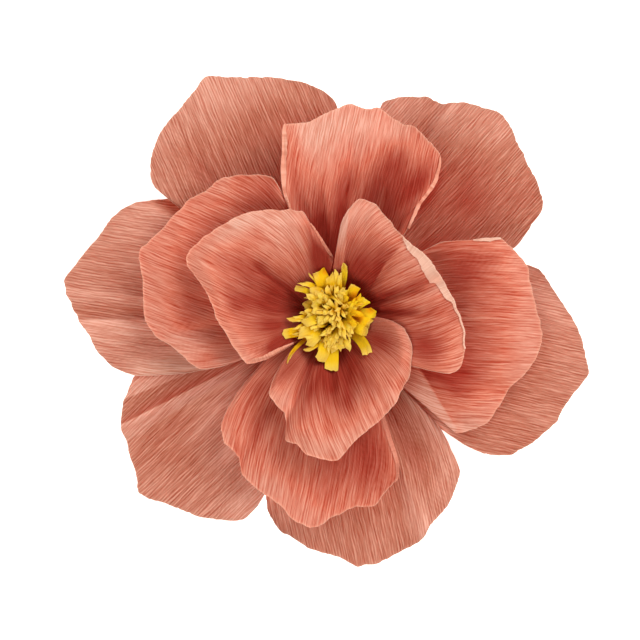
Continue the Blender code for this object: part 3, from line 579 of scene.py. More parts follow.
# Lips
LIP_LEAST = 0.0003
LIP_ARC = 0.00028
LIP_ARC_STEPS = 5
LIP_FLAT_STEPS = 5
LIP_SPRING = 0.15
LIP_NOISE, LIP_NOISE_PLACES = 0.10, 21
ABOVE_ALL = 1.0


def rim_points(petal, heading, columns):
    """Evenly spaced points along the cut edge in plan, with the petal's heading along +X."""
    angles = np.radians(np.array([angle for angle, _ in petal.rim]) - heading)
    reach = petal.layer.reach * np.array([share for _, share in petal.rim])
    corners = np.stack([reach * np.cos(angles), reach * np.sin(angles)], axis=1)
    padded = np.concatenate([corners[:1], corners, corners[-1:]])
    share = (np.arange(RIM_STEPS) / RIM_STEPS)[:, None]
    line = []
    for before, start, end, after in zip(padded, padded[1:], padded[2:], padded[3:]):
        curve = 0.5 * (
            2 * start
            + (end - before) * share
            + (2 * before - 5 * start + 4 * end - after) * share**2
            + (3 * start - before - 3 * end + after) * share**3
        )
        line.append(start + (end - start) * share + RIM_ROUND * (curve - start - (end - start) * share))
    line = np.concatenate(line + [corners[-1:]])
    lengths = np.concatenate([[0], np.cumsum(np.linalg.norm(np.diff(line, axis=0), axis=1))])
    wanted = np.linspace(0, lengths[-1], columns + 1)
    spread = np.stack([np.interp(wanted, lengths, line[:, k]) for k in (0, 1)], axis=1)
    radius = np.linalg.norm(spread, axis=1)
    seed = seed_of(petal)
    rough = value_noise(wanted / RIM_NOISE_LENGTH, wanted * 0, seed)
    rough += FINER_NOISE_SHARE * value_noise(wanted / RIM_NOISE_LENGTH * FINER_NOISE, wanted * 0, seed + 1)
    return spread * (1 + RIM_NOISE * rough / radius)[:, None]


def seed_of(petal):
    return FIRST_SEED + SEED_STEP * [each.name for each in PETALS].index(petal.name)


def crease_fields(crease, layer, heading, p, q):
    """How a crease lifts the paper, and the painted shade on its flanks, painted light where below zero, at
    places p along and q across the petal's heading.
    """
    ends = []
    for angle, share in (crease.start, crease.end):
        turn = math.radians(angle - heading)
        ends.append(layer.reach * share * np.array([math.cos(turn), math.sin(turn)]))
    run = ends[1] - ends[0]
    length = np.linalg.norm(run)
    run = run / length
    along = (p - ends[0][0]) * run[0] + (q - ends[0][1]) * run[1]
    off = (p - ends[0][0]) * -run[1] + (q - ends[0][1]) * run[0]
    sharp = np.sqrt(off * off + CREASE_ROUNDING**2) - CREASE_ROUNDING
    fade = smooth_step(CREASE_STARTS * length, CREASE_FULL_AT * length, along)
    fade *= 1 - smooth_step(CREASE_FADES * length, length, along)
    near = np.exp(-sharp / np.where(off > 0, crease.left, crease.right)) * fade
    side = smooth_step(-CREASE_TINT_STEP, CREASE_TINT_STEP, off)
    return crease.height * near, (crease.right_tint + (crease.left_tint - crease.right_tint) * side) * near


def gathers(layer, across, along, radius, seed):
    """How far the gathers at the foot lift the paper."""
    left = np.maximum(0.0, 1 - (radius - FOOT_RADIUS) / GATHER_REACH)
    wander = GATHER_WANDER * value_noise(
        across * layer.pleats * WANDERS_PER_PLEAT, radius / GATHER_WANDER_LENGTH, seed + 2)
    gather = np.sin(2 * math.pi * (layer.pleats * across + wander))
    gather += FINE_GATHER_SHARE * np.sin(
        2 * math.pi * (FINE_GATHERS * layer.pleats * across + FINE_GATHER_SHIFT + wander))
    lift = GATHER_HEIGHT * (GATHER_SWING * gather + GATHER_MEAN)
    return lift * left**GATHER_FALL * smooth_step(0.0, GATHER_STARTS, along)


def ridges(layer, p, q, seed):
    """The paper's ridges from -1 to 1, the grain that they follow and how far apart it runs."""
    closed = 1 - np.clip((p - FOOT_RADIUS * GRAIN_STARTS) / (GRAIN_PARALLEL_AT * layer.reach), 0, 1)
    width = 1 - (1 - GRAIN_FOOT_WIDTH) * closed**GRAIN_EASE
    grain = q / width

    def noise(size, number):
        far, pitches, lengths = size
        return far * value_noise(grain / (pitches * layer.pitch), p / (lengths * RIDGE_LENGTH), seed + number)

    bent = grain + layer.pitch * (noise(RIDGE_BENDS[0], 3) + noise(RIDGE_BENDS[1], 4))
    strength = RIDGE_MEAN + noise(RIDGE_SWING, 5)
    return strength * np.sin(2 * math.pi * bent / layer.pitch), grain, width


def petal_surface(petal):
    """The petal's middle surface before it is laid down, with the fields that its paper is drawn from."""
    layer = petal.layer
    first, last = petal.rim[0][0], petal.rim[-1][0]
    heading, half_width = (first + last) / 2, (last - first) / 2
    rim = rim_points(petal, heading, layer.columns)
    rim_turn, rim_radius = np.degrees(np.arctan2(rim[:, 1], rim[:, 0])), np.linalg.norm(rim, axis=1)
    along = np.concatenate([np.linspace(0, EVEN_ROWS_END, layer.rows), EDGE_ROWS])[:, None]
    turn = rim_turn * (FOOT_SPREAD + (1 - FOOT_SPREAD) * (1 - (1 - along) ** FAN_EASE))
    radius = FOOT_RADIUS + (rim_radius - FOOT_RADIUS) * along
    across = np.linspace(0, 1, layer.columns + 1)[None, :] + 0 * along
    along = along + 0 * across
    p, q = radius * np.cos(np.radians(turn)), radius * np.sin(np.radians(turn))
    out = (radius - FOOT_RADIUS) / (layer.reach - FOOT_RADIUS)

    height = layer.rise * (1 - np.maximum(0.0, 1 - out) ** layer.steepness)
    side = turn / half_width
    height += np.where(side < 0, petal.cup_first, petal.cup_last) * side**2 * np.minimum(1.0, out / CUPPED_AT)
    height -= petal.curl * smooth_step(CURL_STARTS, 1.0, along) ** 2
    for fold in petal.folds:
        off = (turn - (fold.angle - heading)) / fold.width
        fade = smooth_step(FOLD_STARTS, FOLD_FULL_AT, out)
        fade *= 1 - smooth_step(fold.fades_at - FOLD_FADE, fold.fades_at, out)
        height += fold.height * np.exp(-off * off) * fade
    crease_painted_shade = np.zeros_like(height)
    for crease in petal.creases:
        lift, shade = crease_fields(crease, layer, heading, p, q)
        height += lift
        crease_painted_shade += shade

    seed = seed_of(petal)
    height += gathers(layer, across, along, radius, seed)
    ridge, grain, width = ridges(layer, p, q, seed)
    height += layer.ridge * ridge * np.sqrt(width) * smooth_step(0.0, RIDGES_FULL_AT, along)
    wave = sum(
        strong * value_noise(turn / degrees, radius / length, seed + 6 + number)
        for number, (strong, degrees, length) in enumerate(WAVES)
    )
    height += layer.wave * wave * smooth_step(WAVE_STARTS, WAVE_FULL_AT, out)
    to_rim = (1 - along) * (rim_radius - FOOT_RADIUS)
    height += EDGE_RISE * (1 - smooth_step(0, EDGE_RISE_WIDTH, to_rim))

    # Painted shade in the hollows and painted highlight on the crests
    tint = (blurred(height, HOLLOW_ROWS, HOLLOW_COLUMNS) - height) / HOLLOW_DEEP
    tint = np.where(tint > 0, HOLLOW_PAINTED_SHADE, CREST_PAINTED_LIGHT) * np.clip(tint, -1, 1)
    # Painted shade and light beside the creases, and deeper towards the foot: partly the gathered paper's own
    # colour, partly painted shade
    tint += crease_painted_shade + FOOT_TONE_AND_SHADE * (1 - smooth_step(0, FOOT_TONE_AND_SHADE_ENDS, out))
    # Paler towards the rim: partly the stretched paper's own colour, partly painted light
    tint -= RIM_TONE_AND_LIGHT * smooth_step(PALES_FROM, 1.0, along)
    # Soft patches of painted shade, and of painted light where their strength is below zero
    for flush in petal.flushes:
        off = (turn - (flush.angle - heading)) / flush.wide
        beyond = (radius / layer.reach - flush.share) / flush.long
        tint += flush.strength * np.exp(-off * off - beyond * beyond)

    angle = np.radians(heading + turn)
    points = np.stack([radius * np.cos(angle), radius * np.sin(angle), height], axis=2)
    fields = {
        "grain": np.stack([grain, p, np.full_like(p, seed * GRAIN_SHIFT)], axis=2),
        "ridge": ridge,
        "edge": smooth_step(0, EDGE_HIGHLIGHT_WIDTH, to_rim),
        "tint": np.clip(tint, -1, 1),
    }
    return points, fields


def lay_down(points, ground):
    """Lifts the petal where it would meet what lies below it, and smoothly around there."""
    points[..., 2] += DISC_TOP + FOOT_GAP
    below = read_ground(spread_high(ground, LAY_SPREAD_CELLS), points[..., 0], points[..., 1])
    need = np.where(below > 0, below + LAY_GAP - points[..., 2], 0.0)
    need = np.maximum(need, 0.0)
    coarse_need = block_highest(need, COARSE)
    coarse = eased(coarse_need, coarse_need, COARSE_PASSES)
    lift = resampled(coarse, need.shape)
    points[..., 2] += eased(lift, np.maximum(need - LAY_SLACK, 0), FINE_PASSES)
    raise_ground(ground, points)


def add_lip(sheets, points, lip, fields, petal):
    """Folds a stretch of the rim over onto the petal's face: the paper's back shows, or its front with the
    lip's painted shade, painted light where below zero.
    """
    angles = np.degrees(np.arctan2(points[-1, :, 1], points[-1, :, 0]))
    places, widths = zip(*lip.widths)
    if max(places) > 180:
        angles = np.where(angles < 0, angles + 360, angles)
    chosen = np.flatnonzero((angles >= min(places)) & (angles <= max(places)))
    rows, columns = points.shape[:2]
    tree = BVHTree.FromPolygons(points.reshape(-1, 3).tolist(), grid_faces(rows, columns).tolist())
    edge = points[-1, chosen]
    tangent = np.gradient(edge, axis=0)
    inward = np.stack([-tangent[:, 1], tangent[:, 0]], axis=1)
    inward /= np.linalg.norm(inward, axis=1, keepdims=True)
    if (inward[len(inward) // 2] * edge[len(edge) // 2, :2]).sum() > 0:
        inward = -inward
    share = np.linspace(0, 1, len(chosen))
    seed = seed_of(petal)
    width = np.interp(angles[chosen], places, widths) + LIP_LEAST
    width *= 1 + LIP_NOISE * value_noise(share * LIP_NOISE_PLACES, share * 0, seed + 8)
    strip = []
    for step in range(LIP_ARC_STEPS + 1):
        turn = math.pi * step / LIP_ARC_STEPS
        place = edge.copy()
        place[:, :2] -= inward * LIP_ARC * math.sin(turn)
        place[:, 2] += LIP_ARC * (1 - math.cos(turn))
        strip.append(place)
    for step in range(1, LIP_FLAT_STEPS + 1):
        place = edge.copy()
        place[:, :2] += inward * (width * step / LIP_FLAT_STEPS)[:, None]
        for k, spot in enumerate(place):
            hit, _, _, _ = tree.ray_cast(Vector((spot[0], spot[1], ABOVE_ALL)), Vector((0, 0, -1)))
            if hit is not None:
                place[k, 2] = hit.z
        place[:, 2] += 2 * LIP_ARC * (1 + LIP_SPRING * step / LIP_FLAT_STEPS)
        strip.append(place)
    strip = np.array(strip)
    taken = {}
    for name, values in fields.items():
        taken[name] = np.repeat(values[-1:, chosen], len(strip), axis=0)
    look = 1 if lip.tint is None else 0
    if lip.tint is not None:
        taken["tint"] = np.full_like(taken["tint"], lip.tint)
    sheets.add(strip, PAPER, front_look=look, back_look=look, **taken)
    return strip


def build_petal(petal, ground, materials):
    points, fields = petal_surface(petal)
    lay_down(points, ground)
    sheets = Sheets()
    sheets.add(points, PAPER, **fields)
    for lip in petal.lips:
        strip = add_lip(sheets, points, lip, fields, petal)
        raise_ground(ground, strip)
    made = sheets.build(petal.name + "_paper", materials)
    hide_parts(petal.name)
    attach(made, "root")
    return made


# Fringe

# A strip comes up out of the roll below its bend, and its end lies from the bend to the tip.
Strip = namedtuple("Strip", "bend tip width roll cut bow")

# How a strip runs from its root in the roll over its bend, and how it is arched, twisted and crumpled
FRINGE_SEED = 11
FRINGE_PAPER = PAPER * 0.8
STRIP_ROWS = 16
STRIP_COLUMNS = 6
STRIP_GAP = 0.0007
MOST_ROOT_RADIUS = 0.009
ROOT_SHARE = 0.75
ROOT_DEPTH = 0.004
BEND_RISE = 0.003
OVER_AT = 0.55
ARCH = 0.002
ARCHES = (-0.5, 1.8)
SIDEWAYS = 0.30
MOST_TAPER = 0.5
WIDE_STRIP = 0.0042
TWIST_EASE = 1.2
WRINKLES = (0.0001, 0.0005)
KINKS_ACROSS, KINKS_ALONG = 3.4, 11.0
LIFTED_FROM, LIFTED_AT = FOOT_RADIUS - 0.001, FOOT_RADIUS + 0.001

# How much a strip's end is cut and how uneven the cut is, as shares of its length
SLANT_CUT, NOTCH_CUT, STRAIGHT_CUT, ROUGH_CUT = 0.16, 0.07, 0.03, 0.035

# The band that the strips come out of, and the eye in its middle
BAND_TOP = 0.0168
BAND_PITCH = 0.00135
BAND_STEPS, BAND_LEVELS = 36, 5
EYE_RADIUS = 0.0018
EYE_PIXEL = (340, 311)
EYE_REACH = 0.0028
EYE_HEIGHT = 0.0385

# The strips that are drawn at random: where they stand, and the least and most of what is drawn for each
RANDOM_STRIPS = 170
RANDOM_REACH = 0.0125
GOLDEN_ANGLE = 137.5
ANGLE_OFF = 20
AIM_SPREAD = 32
HEIGHT_LOSS = 0.42
HEIGHT_OFF = 0.0012
LENGTHS = (0.0045, 0.0095)
EYE_LENGTH, FULL_LENGTH_AT = 0.35, 0.006
RISES = (-0.0022, 0.0020)
WIDTHS = (0.0016, 0.0040)
MOST_TWIST = 70
CUTS = ("slant", "back_slant", "point", "notch", "point")
BOWS = (0.0003, 0.0012)
SHOWN_BOWS = (-0.0006, 0.0012)

# Strips that stand out of the tuft in the photo: pixels of the bend and the tip, their heights,
# the width, the twist and the cut
SHOWN_STRIPS = (
    ((318, 283), (298, 285.5), 0.0335, 0.0325, 0.003, 35, "point"),
    ((312, 290), (295, 288), 0.0315, 0.03, 0.0032, -25, "straight"),
    ((318, 279), (308, 274), 0.0345, 0.0345, 0.0013, 30, "point"),
    ((326, 287), (318, 270), 0.035, 0.035, 0.008, 30, "notch"),
    ((331, 288), (329, 274), 0.0355, 0.035, 0.0052, -30, "slant"),
    ((326, 297), (308, 292), 0.036, 0.033, 0.0075, 15, "slant"),
    ((323, 303), (312, 306), 0.035, 0.0315, 0.0062, -12, "point"),
    ((341, 290), (335, 268), 0.0365, 0.0365, 0.0028, 35, "point"),
    ((343, 292), (340, 272), 0.037, 0.037, 0.0026, -35, "slant"),
    ((345, 282), (343.5, 262), 0.035, 0.035, 0.0036, 10, "point"),
    ((335, 295), (347, 294.5), 0.039, 0.0385, 0.002, 20, "straight"),
    ((341, 300), (347, 288), 0.0375, 0.038, 0.0036, -45, "slant"),
    ((352, 300), (358, 284), 0.035, 0.0335, 0.0058, 25, "slant"),
    ((329, 291), (341, 305), 0.0405, 0.04, 0.0014, 65, "slant"),
    ((333, 289), (346, 306), 0.04, 0.0395, 0.0014, 75, "point"),
    ((349, 307), (355, 297), 0.039, 0.039, 0.0018, 60, "point"),
    ((348, 315), (352, 301), 0.0385, 0.039, 0.0024, -50, "straight"),
    ((354, 305), (362, 296), 0.036, 0.035, 0.0046, 30, "notch"),
    ((357, 309), (369, 299), 0.035, 0.0335, 0.0048, -15, "slant"),
    ((358, 313), (377, 311), 0.0345, 0.032, 0.0058, -12, "point"),
    ((357, 318), (371, 325), 0.034, 0.031, 0.006, 20, "notch"),
    ((354, 325), (369, 332), 0.033, 0.03, 0.0052, 25, "slant"),
    ((355, 333), (367, 355), 0.03, 0.0262, 0.0056, 4, "straight"),
    ((347, 314), (355, 331), 0.0375, 0.035, 0.0044, 20, "slant"),
    ((331, 340), (331, 371.5), 0.0315, 0.0275, 0.0074, 6, "straight"),
    ((325, 338), (319, 361), 0.0335, 0.03, 0.0062, -8, "straight"),
    ((334, 336), (336, 353), 0.0335, 0.031, 0.0048, 15, "slant"),
    ((319, 327), (305, 345), 0.0345, 0.0315, 0.0066, 25, "point"),
    ((318, 322), (296, 334), 0.035, 0.0325, 0.006, -14, "back_slant"),
    ((323, 317), (301, 325), 0.0365, 0.034, 0.005, 35, "slant"),
    ((306, 334), (283, 335), 0.03, 0.0272, 0.0052, 6, "straight"),
    ((310, 314), (286, 320), 0.032, 0.03, 0.0034, -25, "slant"),
    ((305, 341), (288, 365), 0.028, 0.0258, 0.0022, 15, "slant"),
    ((323, 341), (303, 351), 0.032, 0.0292, 0.0034, 50, "point"),
    ((340, 338), (350, 351), 0.0325, 0.03, 0.004, 35, "point"),
    ((337, 340), (343, 350), 0.0325, 0.0305, 0.0038, -15, "notch"),
    ((344, 328), (349.5, 344), 0.0335, 0.032, 0.0014, 60, "straight"),
    ((316, 308), (303, 304.5), 0.028, 0.0245, 0.005, 10, "point"),
    ((340, 314), (331, 328), 0.0378, 0.037, 0.0026, 20, "slant"),
    ((341, 308), (346, 318), 0.0384, 0.038, 0.0022, -25, "point"),
)
# Places in the tuft that no other strip fills: each from a pixel to a pixel, with the room around it
TUFT_GAPS = (
    ((326, 327), (310, 343), 0.0014),
    ((294, 304), (310, 306), 0.0036),
)
# Spots of painted shade, where the fringe is of a deeper orange: the pixel and a radius in pixels
TUFT_SHADES = (((358, 318), 7), ((371, 309), 7), ((355, 296), 7), ((325, 271), 5))
TUFT_SHADE_HEIGHT = 0.035
TUFT_SHADE_DEPTH = 0.65
STRIP_GRAIN_SHIFT = 0.013


def tip_cut(kind, side, rng):
    """How much shorter each column of a strip is, as a share of its length, for sides from -1 to 1."""
    cuts = {
        "slant": SLANT_CUT * (side + 1) / 2,
        "back_slant": SLANT_CUT * (1 - side) / 2,
        "point": SLANT_CUT * np.abs(side),
        "notch": NOTCH_CUT * (1 - np.abs(side)),
        "straight": STRAIGHT_CUT * np.abs(side),
    }
    return cuts[kind] + np.array([rng.uniform(0, ROUGH_CUT) for _ in side])


def strip_points(strip, ground, rng):
    """A strip: up out of the roll, over its bend and on to its tip, twisted, bowed and crumpled."""
    bend, tip = np.array(strip.bend), np.array(strip.tip)
    angle = math.atan2(bend[1], bend[0])
    root_radius = min(MOST_ROOT_RADIUS, ROOT_SHARE * math.hypot(bend[0], bend[1]))
    root = np.array([root_radius * math.cos(angle), root_radius * math.sin(angle), BAND_TOP - ROOT_DEPTH])
    climb = bend + np.array([0, 0, BEND_RISE])
    aside = np.array([bend[1] - tip[1], tip[0] - bend[0], 0]) * rng.uniform(-SIDEWAYS, SIDEWAYS)
    over = bend + (tip - bend) * OVER_AT + np.array([0, 0, ARCH * rng.uniform(*ARCHES)]) + aside
    flat = tip[:2] - root[:2]
    heading = flat / max(np.linalg.norm(flat), 1e-6)
    side = np.linspace(-1, 1, STRIP_COLUMNS + 1)
    cut = tip_cut(strip.cut, side, rng)
    across0 = np.array([-math.sin(angle), math.cos(angle), 0])
    across1 = np.array([-heading[1], heading[0], 0])
    if across1 @ across0 < 0:
        across1 = -across1
    pleat = rng.uniform(0, 2 * math.pi)
    wrinkle = rng.uniform(*WRINKLES)
    taper = rng.uniform(0, MOST_TAPER) if strip.width < WIDE_STRIP else 0
    grid = np.zeros((STRIP_ROWS + 1, len(side), 3))
    for i in range(STRIP_ROWS + 1):
        for j, part in enumerate(side):
            s = (i / STRIP_ROWS) * (1 - cut[j])
            t = 1 - s
            place = t**3 * root + 3 * t**2 * s * climb + 3 * t * s * s * over + s**3 * tip
            slope = 3 * (t**2 * (climb - root) + 2 * t * s * (over - climb) + s * s * (tip - over))
            slope /= np.linalg.norm(slope)
            across = across0 * t + across1 * s
            across -= slope * (across @ slope)
            across /= np.linalg.norm(across)
            facing = np.cross(slope, across)
            turn = math.radians(strip.roll) * s**TWIST_EASE
            across, facing = (
                across * math.cos(turn) + facing * math.sin(turn),
                facing * math.cos(turn) - across * math.sin(turn),
            )
            kink = math.asin(math.sin(pleat + KINKS_ACROSS * part + KINKS_ALONG * s)) * 2 / math.pi
            out = strip.bow * (1 - abs(part)) * s + wrinkle * kink * s
            grid[i, j] = place + across * part * strip.width / 2 * (1 - taper * s * s) + facing * out
    floor = read_ground(ground, grid[..., 0], grid[..., 1]) + STRIP_GAP
    beyond = smooth_step(LIFTED_FROM, LIFTED_AT, np.hypot(grid[..., 0], grid[..., 1]))
    lift = np.maximum(0, floor - grid[..., 2]) * beyond
    grid[..., 2] += np.maximum(lift, lift.max(axis=1, keepdims=True))
    return grid


def random_strips(rng):
    """The dense middle of the fringe: strips that spread from the roll's eye and stand up more near it."""
    eye = np.array(pixel_place(EYE_PIXEL, EYE_HEIGHT))
    strips = []
    for k in range(RANDOM_STRIPS):
        radius = RANDOM_REACH * math.sqrt((k + 0.5) / RANDOM_STRIPS)
        angle = math.radians(GOLDEN_ANGLE * k + rng.uniform(-ANGLE_OFF, ANGLE_OFF))
        place = np.array([radius * math.cos(angle), radius * math.sin(angle)])
        from_eye = place - eye
        away = float(np.linalg.norm(from_eye))
        spread = AIM_SPREAD if away > EYE_REACH else 180
        aim = math.atan2(from_eye[1], from_eye[0]) + math.radians(rng.uniform(-spread, spread))
        height = EYE_HEIGHT - HEIGHT_LOSS * away + rng.uniform(-HEIGHT_OFF, HEIGHT_OFF)
        length = rng.uniform(*LENGTHS) * min(1.0, EYE_LENGTH + away / FULL_LENGTH_AT)
        rise = rng.uniform(*RISES)
        strip = Strip(
            bend=(*place, height),
            tip=(place[0] + length * math.cos(aim), place[1] + length * math.sin(aim), height + rise),
            width=rng.uniform(*WIDTHS),
            roll=rng.uniform(-MOST_TWIST, MOST_TWIST),
            cut=rng.choice(CUTS),
            bow=rng.choice([-1, 1]) * rng.uniform(*BOWS),
        )
        if not (in_gap(strip.bend) or in_gap(strip.tip)):
            strips.append(strip)
    return strips


def in_gap(place):
    """Whether a place lies in one of the tuft's gaps, seen from above."""
    for first, last, room in TUFT_GAPS:
        start, end = (np.array(pixel_place(pixel, EYE_HEIGHT)) for pixel in (first, last))
        along = end - start
        share = np.clip((np.array(place[:2]) - start) @ along / (along @ along), 0, 1)
        if np.linalg.norm(np.array(place[:2]) - start - share * along) < room:
            return True
    return False


def pixel_place(pixel, height):
    """The place at a height that the camera sees at a pixel of the photo."""
    nearer = 1 - height / CAMERA_HEIGHT
    centre = camera_centre()
    return tuple(
        middle + ((pixel[k] - FRAME_PIXELS / 2) * PIXEL * (1 if k == 0 else -1)) * nearer
        for k, middle in enumerate(centre)
    )


def camera_centre():
    return ((FRAME_PIXELS / 2 - AXIS_PIXEL[0]) * PIXEL, (AXIS_PIXEL[1] - FRAME_PIXELS / 2) * PIXEL)


def shown_strips(rng):
    strips = []
    for bend_pixel, tip_pixel, bend_height, tip_height, width, roll, cut in SHOWN_STRIPS:
        bend = (*pixel_place(bend_pixel, bend_height), bend_height)
        tip = (*pixel_place(tip_pixel, tip_height), tip_height)
        strips.append(Strip(bend, tip, width, roll, cut, rng.uniform(*SHOWN_BOWS)))
    return strips


def band_points():
    """The uncut part of the strip, rolled up."""
    turns = (ROLL_RADIUS - EYE_RADIUS) / BAND_PITCH
    angle = np.linspace(0, 2 * math.pi * turns, int(turns * BAND_STEPS))
    radius = EYE_RADIUS + BAND_PITCH * angle / (2 * math.pi)
    levels = np.linspace(ROLL_FOOT, BAND_TOP, BAND_LEVELS)
    ring = np.stack([radius * np.cos(angle), radius * np.sin(angle)], axis=1)
    return np.array([np.column_stack([ring, np.full(len(ring), level)]) for level in levels])


def strip_fields(points, seed):
    """What a strip's paper is drawn from: its grain, a tone of its own, and how far out each place is, less
    the spots of painted shade.
    """
    length = np.concatenate([[0], np.cumsum(np.linalg.norm(np.diff(points[:, 0], axis=0), axis=1))])
    wide = np.concatenate([[0], np.cumsum(np.linalg.norm(np.diff(points[0], axis=0), axis=1))])
    p, q = np.meshgrid(length, wide, indexing="ij")
    tone = random.Random(seed).uniform(0, 1)
    deep = np.zeros_like(p)
    for pixel, radius in TUFT_SHADES:
        shade = pixel_place(pixel, TUFT_SHADE_HEIGHT)
        off = np.hypot(points[..., 0] - shade[0], points[..., 1] - shade[1]) / (radius * PIXEL)
        deep = np.maximum(deep, TUFT_SHADE_DEPTH * np.exp(-off * off))
    return {
        "grain": np.stack([q, p, np.full_like(p, seed * STRIP_GRAIN_SHIFT)], axis=2),
        "tone": np.full_like(p, tone),
        "out": np.clip(p / max(length[-1], 1e-6) - deep, 0, 1),
    }


def build_fringe(ground, material):
    rng = random.Random(FRINGE_SEED)
    sheets = Sheets()
    band = band_points()
    sheets.add(band, PAPER, 0, 0, **strip_fields(band, 0))
    for number, strip in enumerate(random_strips(rng) + shown_strips(rng)):
        points = strip_points(strip, ground, rng)
        sheets.add(points, FRINGE_PAPER, 0, 0, **strip_fields(points, number + 1))
    made = sheets.build("fringe_roll", [material])
    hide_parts("stamen_roll")
    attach(made, "root")
    return made


# Finishes

# Colours are given in numbers from 0 to 255. Pairs are (in the grooves, on the crests).
Paper = namedtuple("Paper", "name light middle deep flush sway bump through crinkled")
# Colours of painted light and of painted shade, as (in the grooves, on the crests)
PAINTED_LIGHT_COLOURS = ((226, 158, 134), (255, 212, 192))
PAINTED_SHADE_COLOURS = ((132, 24, 15), (162, 38, 26))
PAPERS = {
    "outer": Paper("outer crepe", (217, 163, 141), (188, 127, 104), (155, 82, 61),
                   ((134, 40, 26), (164, 56, 40)), 0.0003, 0.00052, 0.20, 0.24),
    "middle": Paper("middle crepe", (247, 176, 151), (229, 139, 113), (197, 86, 63),
                    PAINTED_SHADE_COLOURS, 0.0004, 0.00042, 0.28, 0.18),
    "inner": Paper("inner crepe", (246, 176, 151), (228, 140, 114), (196, 89, 66),
                   PAINTED_SHADE_COLOURS, 0.0003, 0.00030, 0.26, 0.15),
    "back": Paper("crepe back", (240, 196, 176), (232, 182, 160), (212, 152, 130),
                  ((206, 112, 88), (222, 130, 104)), 0.0003, 0.0003, 0.2, 0.15),
}
PAPER_ROUGHNESS, PAPER_SPECULAR = 0.9, 0.08
THROUGH_COLOUR = (0.95, 0.09, 0.04, 1)

# The crinkles: their pitch, how far they wander, how much longer than wide the wandering is, and the length
# of the wave texture's wave at scale 1
CRINKLE_PITCH = 0.0014
CRINKLE_WANDER = 4.0
CRINKLE_STRETCH = 0.3
BLENDERS_WAVE = math.tau / 20
# Streaks along the grain: how often they repeat in a metre across and along
WANDER_STREAKS, COARSE_STREAKS, FINE_STREAKS = (200, 60, 1), (1250, 50, 1), (2400, 120, 1)
# The stretch of each noise's values that is drawn out to reach from 0 to 1
WANDER_RANGE, COARSE_RANGE, FINE_RANGE = (0.3, 0.7), (0.34, 0.66), (0.32, 0.68)
# What part each has in the crests. The crinkles' part, which each paper has of its own, comes off the
# coarse streaks'.
COARSE_SHARE, FINE_SHARE, RIDGE_SHARE = 0.51, 0.34, 0.15
TO_MIDDLE, TO_LIGHT, TO_CREST = (0.22, 0.46), (0.54, 0.74), (0.3, 0.7)
# Shares of painted shade, painted light and the painted edge highlight, and the translucency kept at the edge
PAINTED_SHADE_SHARE, PAINTED_LIGHT_SHARE, EDGE_HIGHLIGHT_SHARE, THROUGH_EDGE = 0.85, 0.9, 0.4, 0.3
BUMP_SHARE = 0.45
STREAK_ROUGHNESS, FINE_ROUGHNESS = 0.6, 0.65

FRINGE_STREAKS = (1500, 200, 1)
FRINGE_COLOURS = ((255, 200, 10), (255, 231, 46))
FRINGE_RANGE, FRINGE_TONE = (0.3, 0.7), 0.5
# Painted shade in orange towards the strips' roots deep in the tuft, and the paler tips
FRINGE_PAINTED_SHADE, FRINGE_PALE = (243, 148, 6), (255, 242, 146)
# Ramps over the way out along a strip: from, to, and the colour's share at each
PAINTED_SHADE_RAMP, PALE_RAMP = (0.25, 0.6, 0.8, 0.0), (0.8, 1.0, 0.0, 0.5)
FRINGE_BUMP = 0.0004
FRINGE_THROUGH = 0.20
FRINGE_THROUGH_COLOUR = (1.0, 0.62, 0.03, 1)

CARD_COLOURS = ((226, 220, 208), (244, 240, 231))
CARD_RANGE = (0.3, 0.7)
# Noises as (how often in a metre, detail), and their parts
CARD_FINE, CARD_SOFT, CARD_PARTS = (900.0, 4.0), (60.0, 2.0), (0.6, 0.4)
CARD_BUMP, CARD_BUMP_STRENGTH = 0.0001, 0.35


def linear(colour):
    """A colour given in numbers from 0 to 255, in the light that Blender reckons with."""
    values = [value / 255 for value in colour]
    return tuple(v / 12.92 if v <= 0.04045 else ((v + 0.055) / 1.055) ** 2.4 for v in values) + (1.0,)


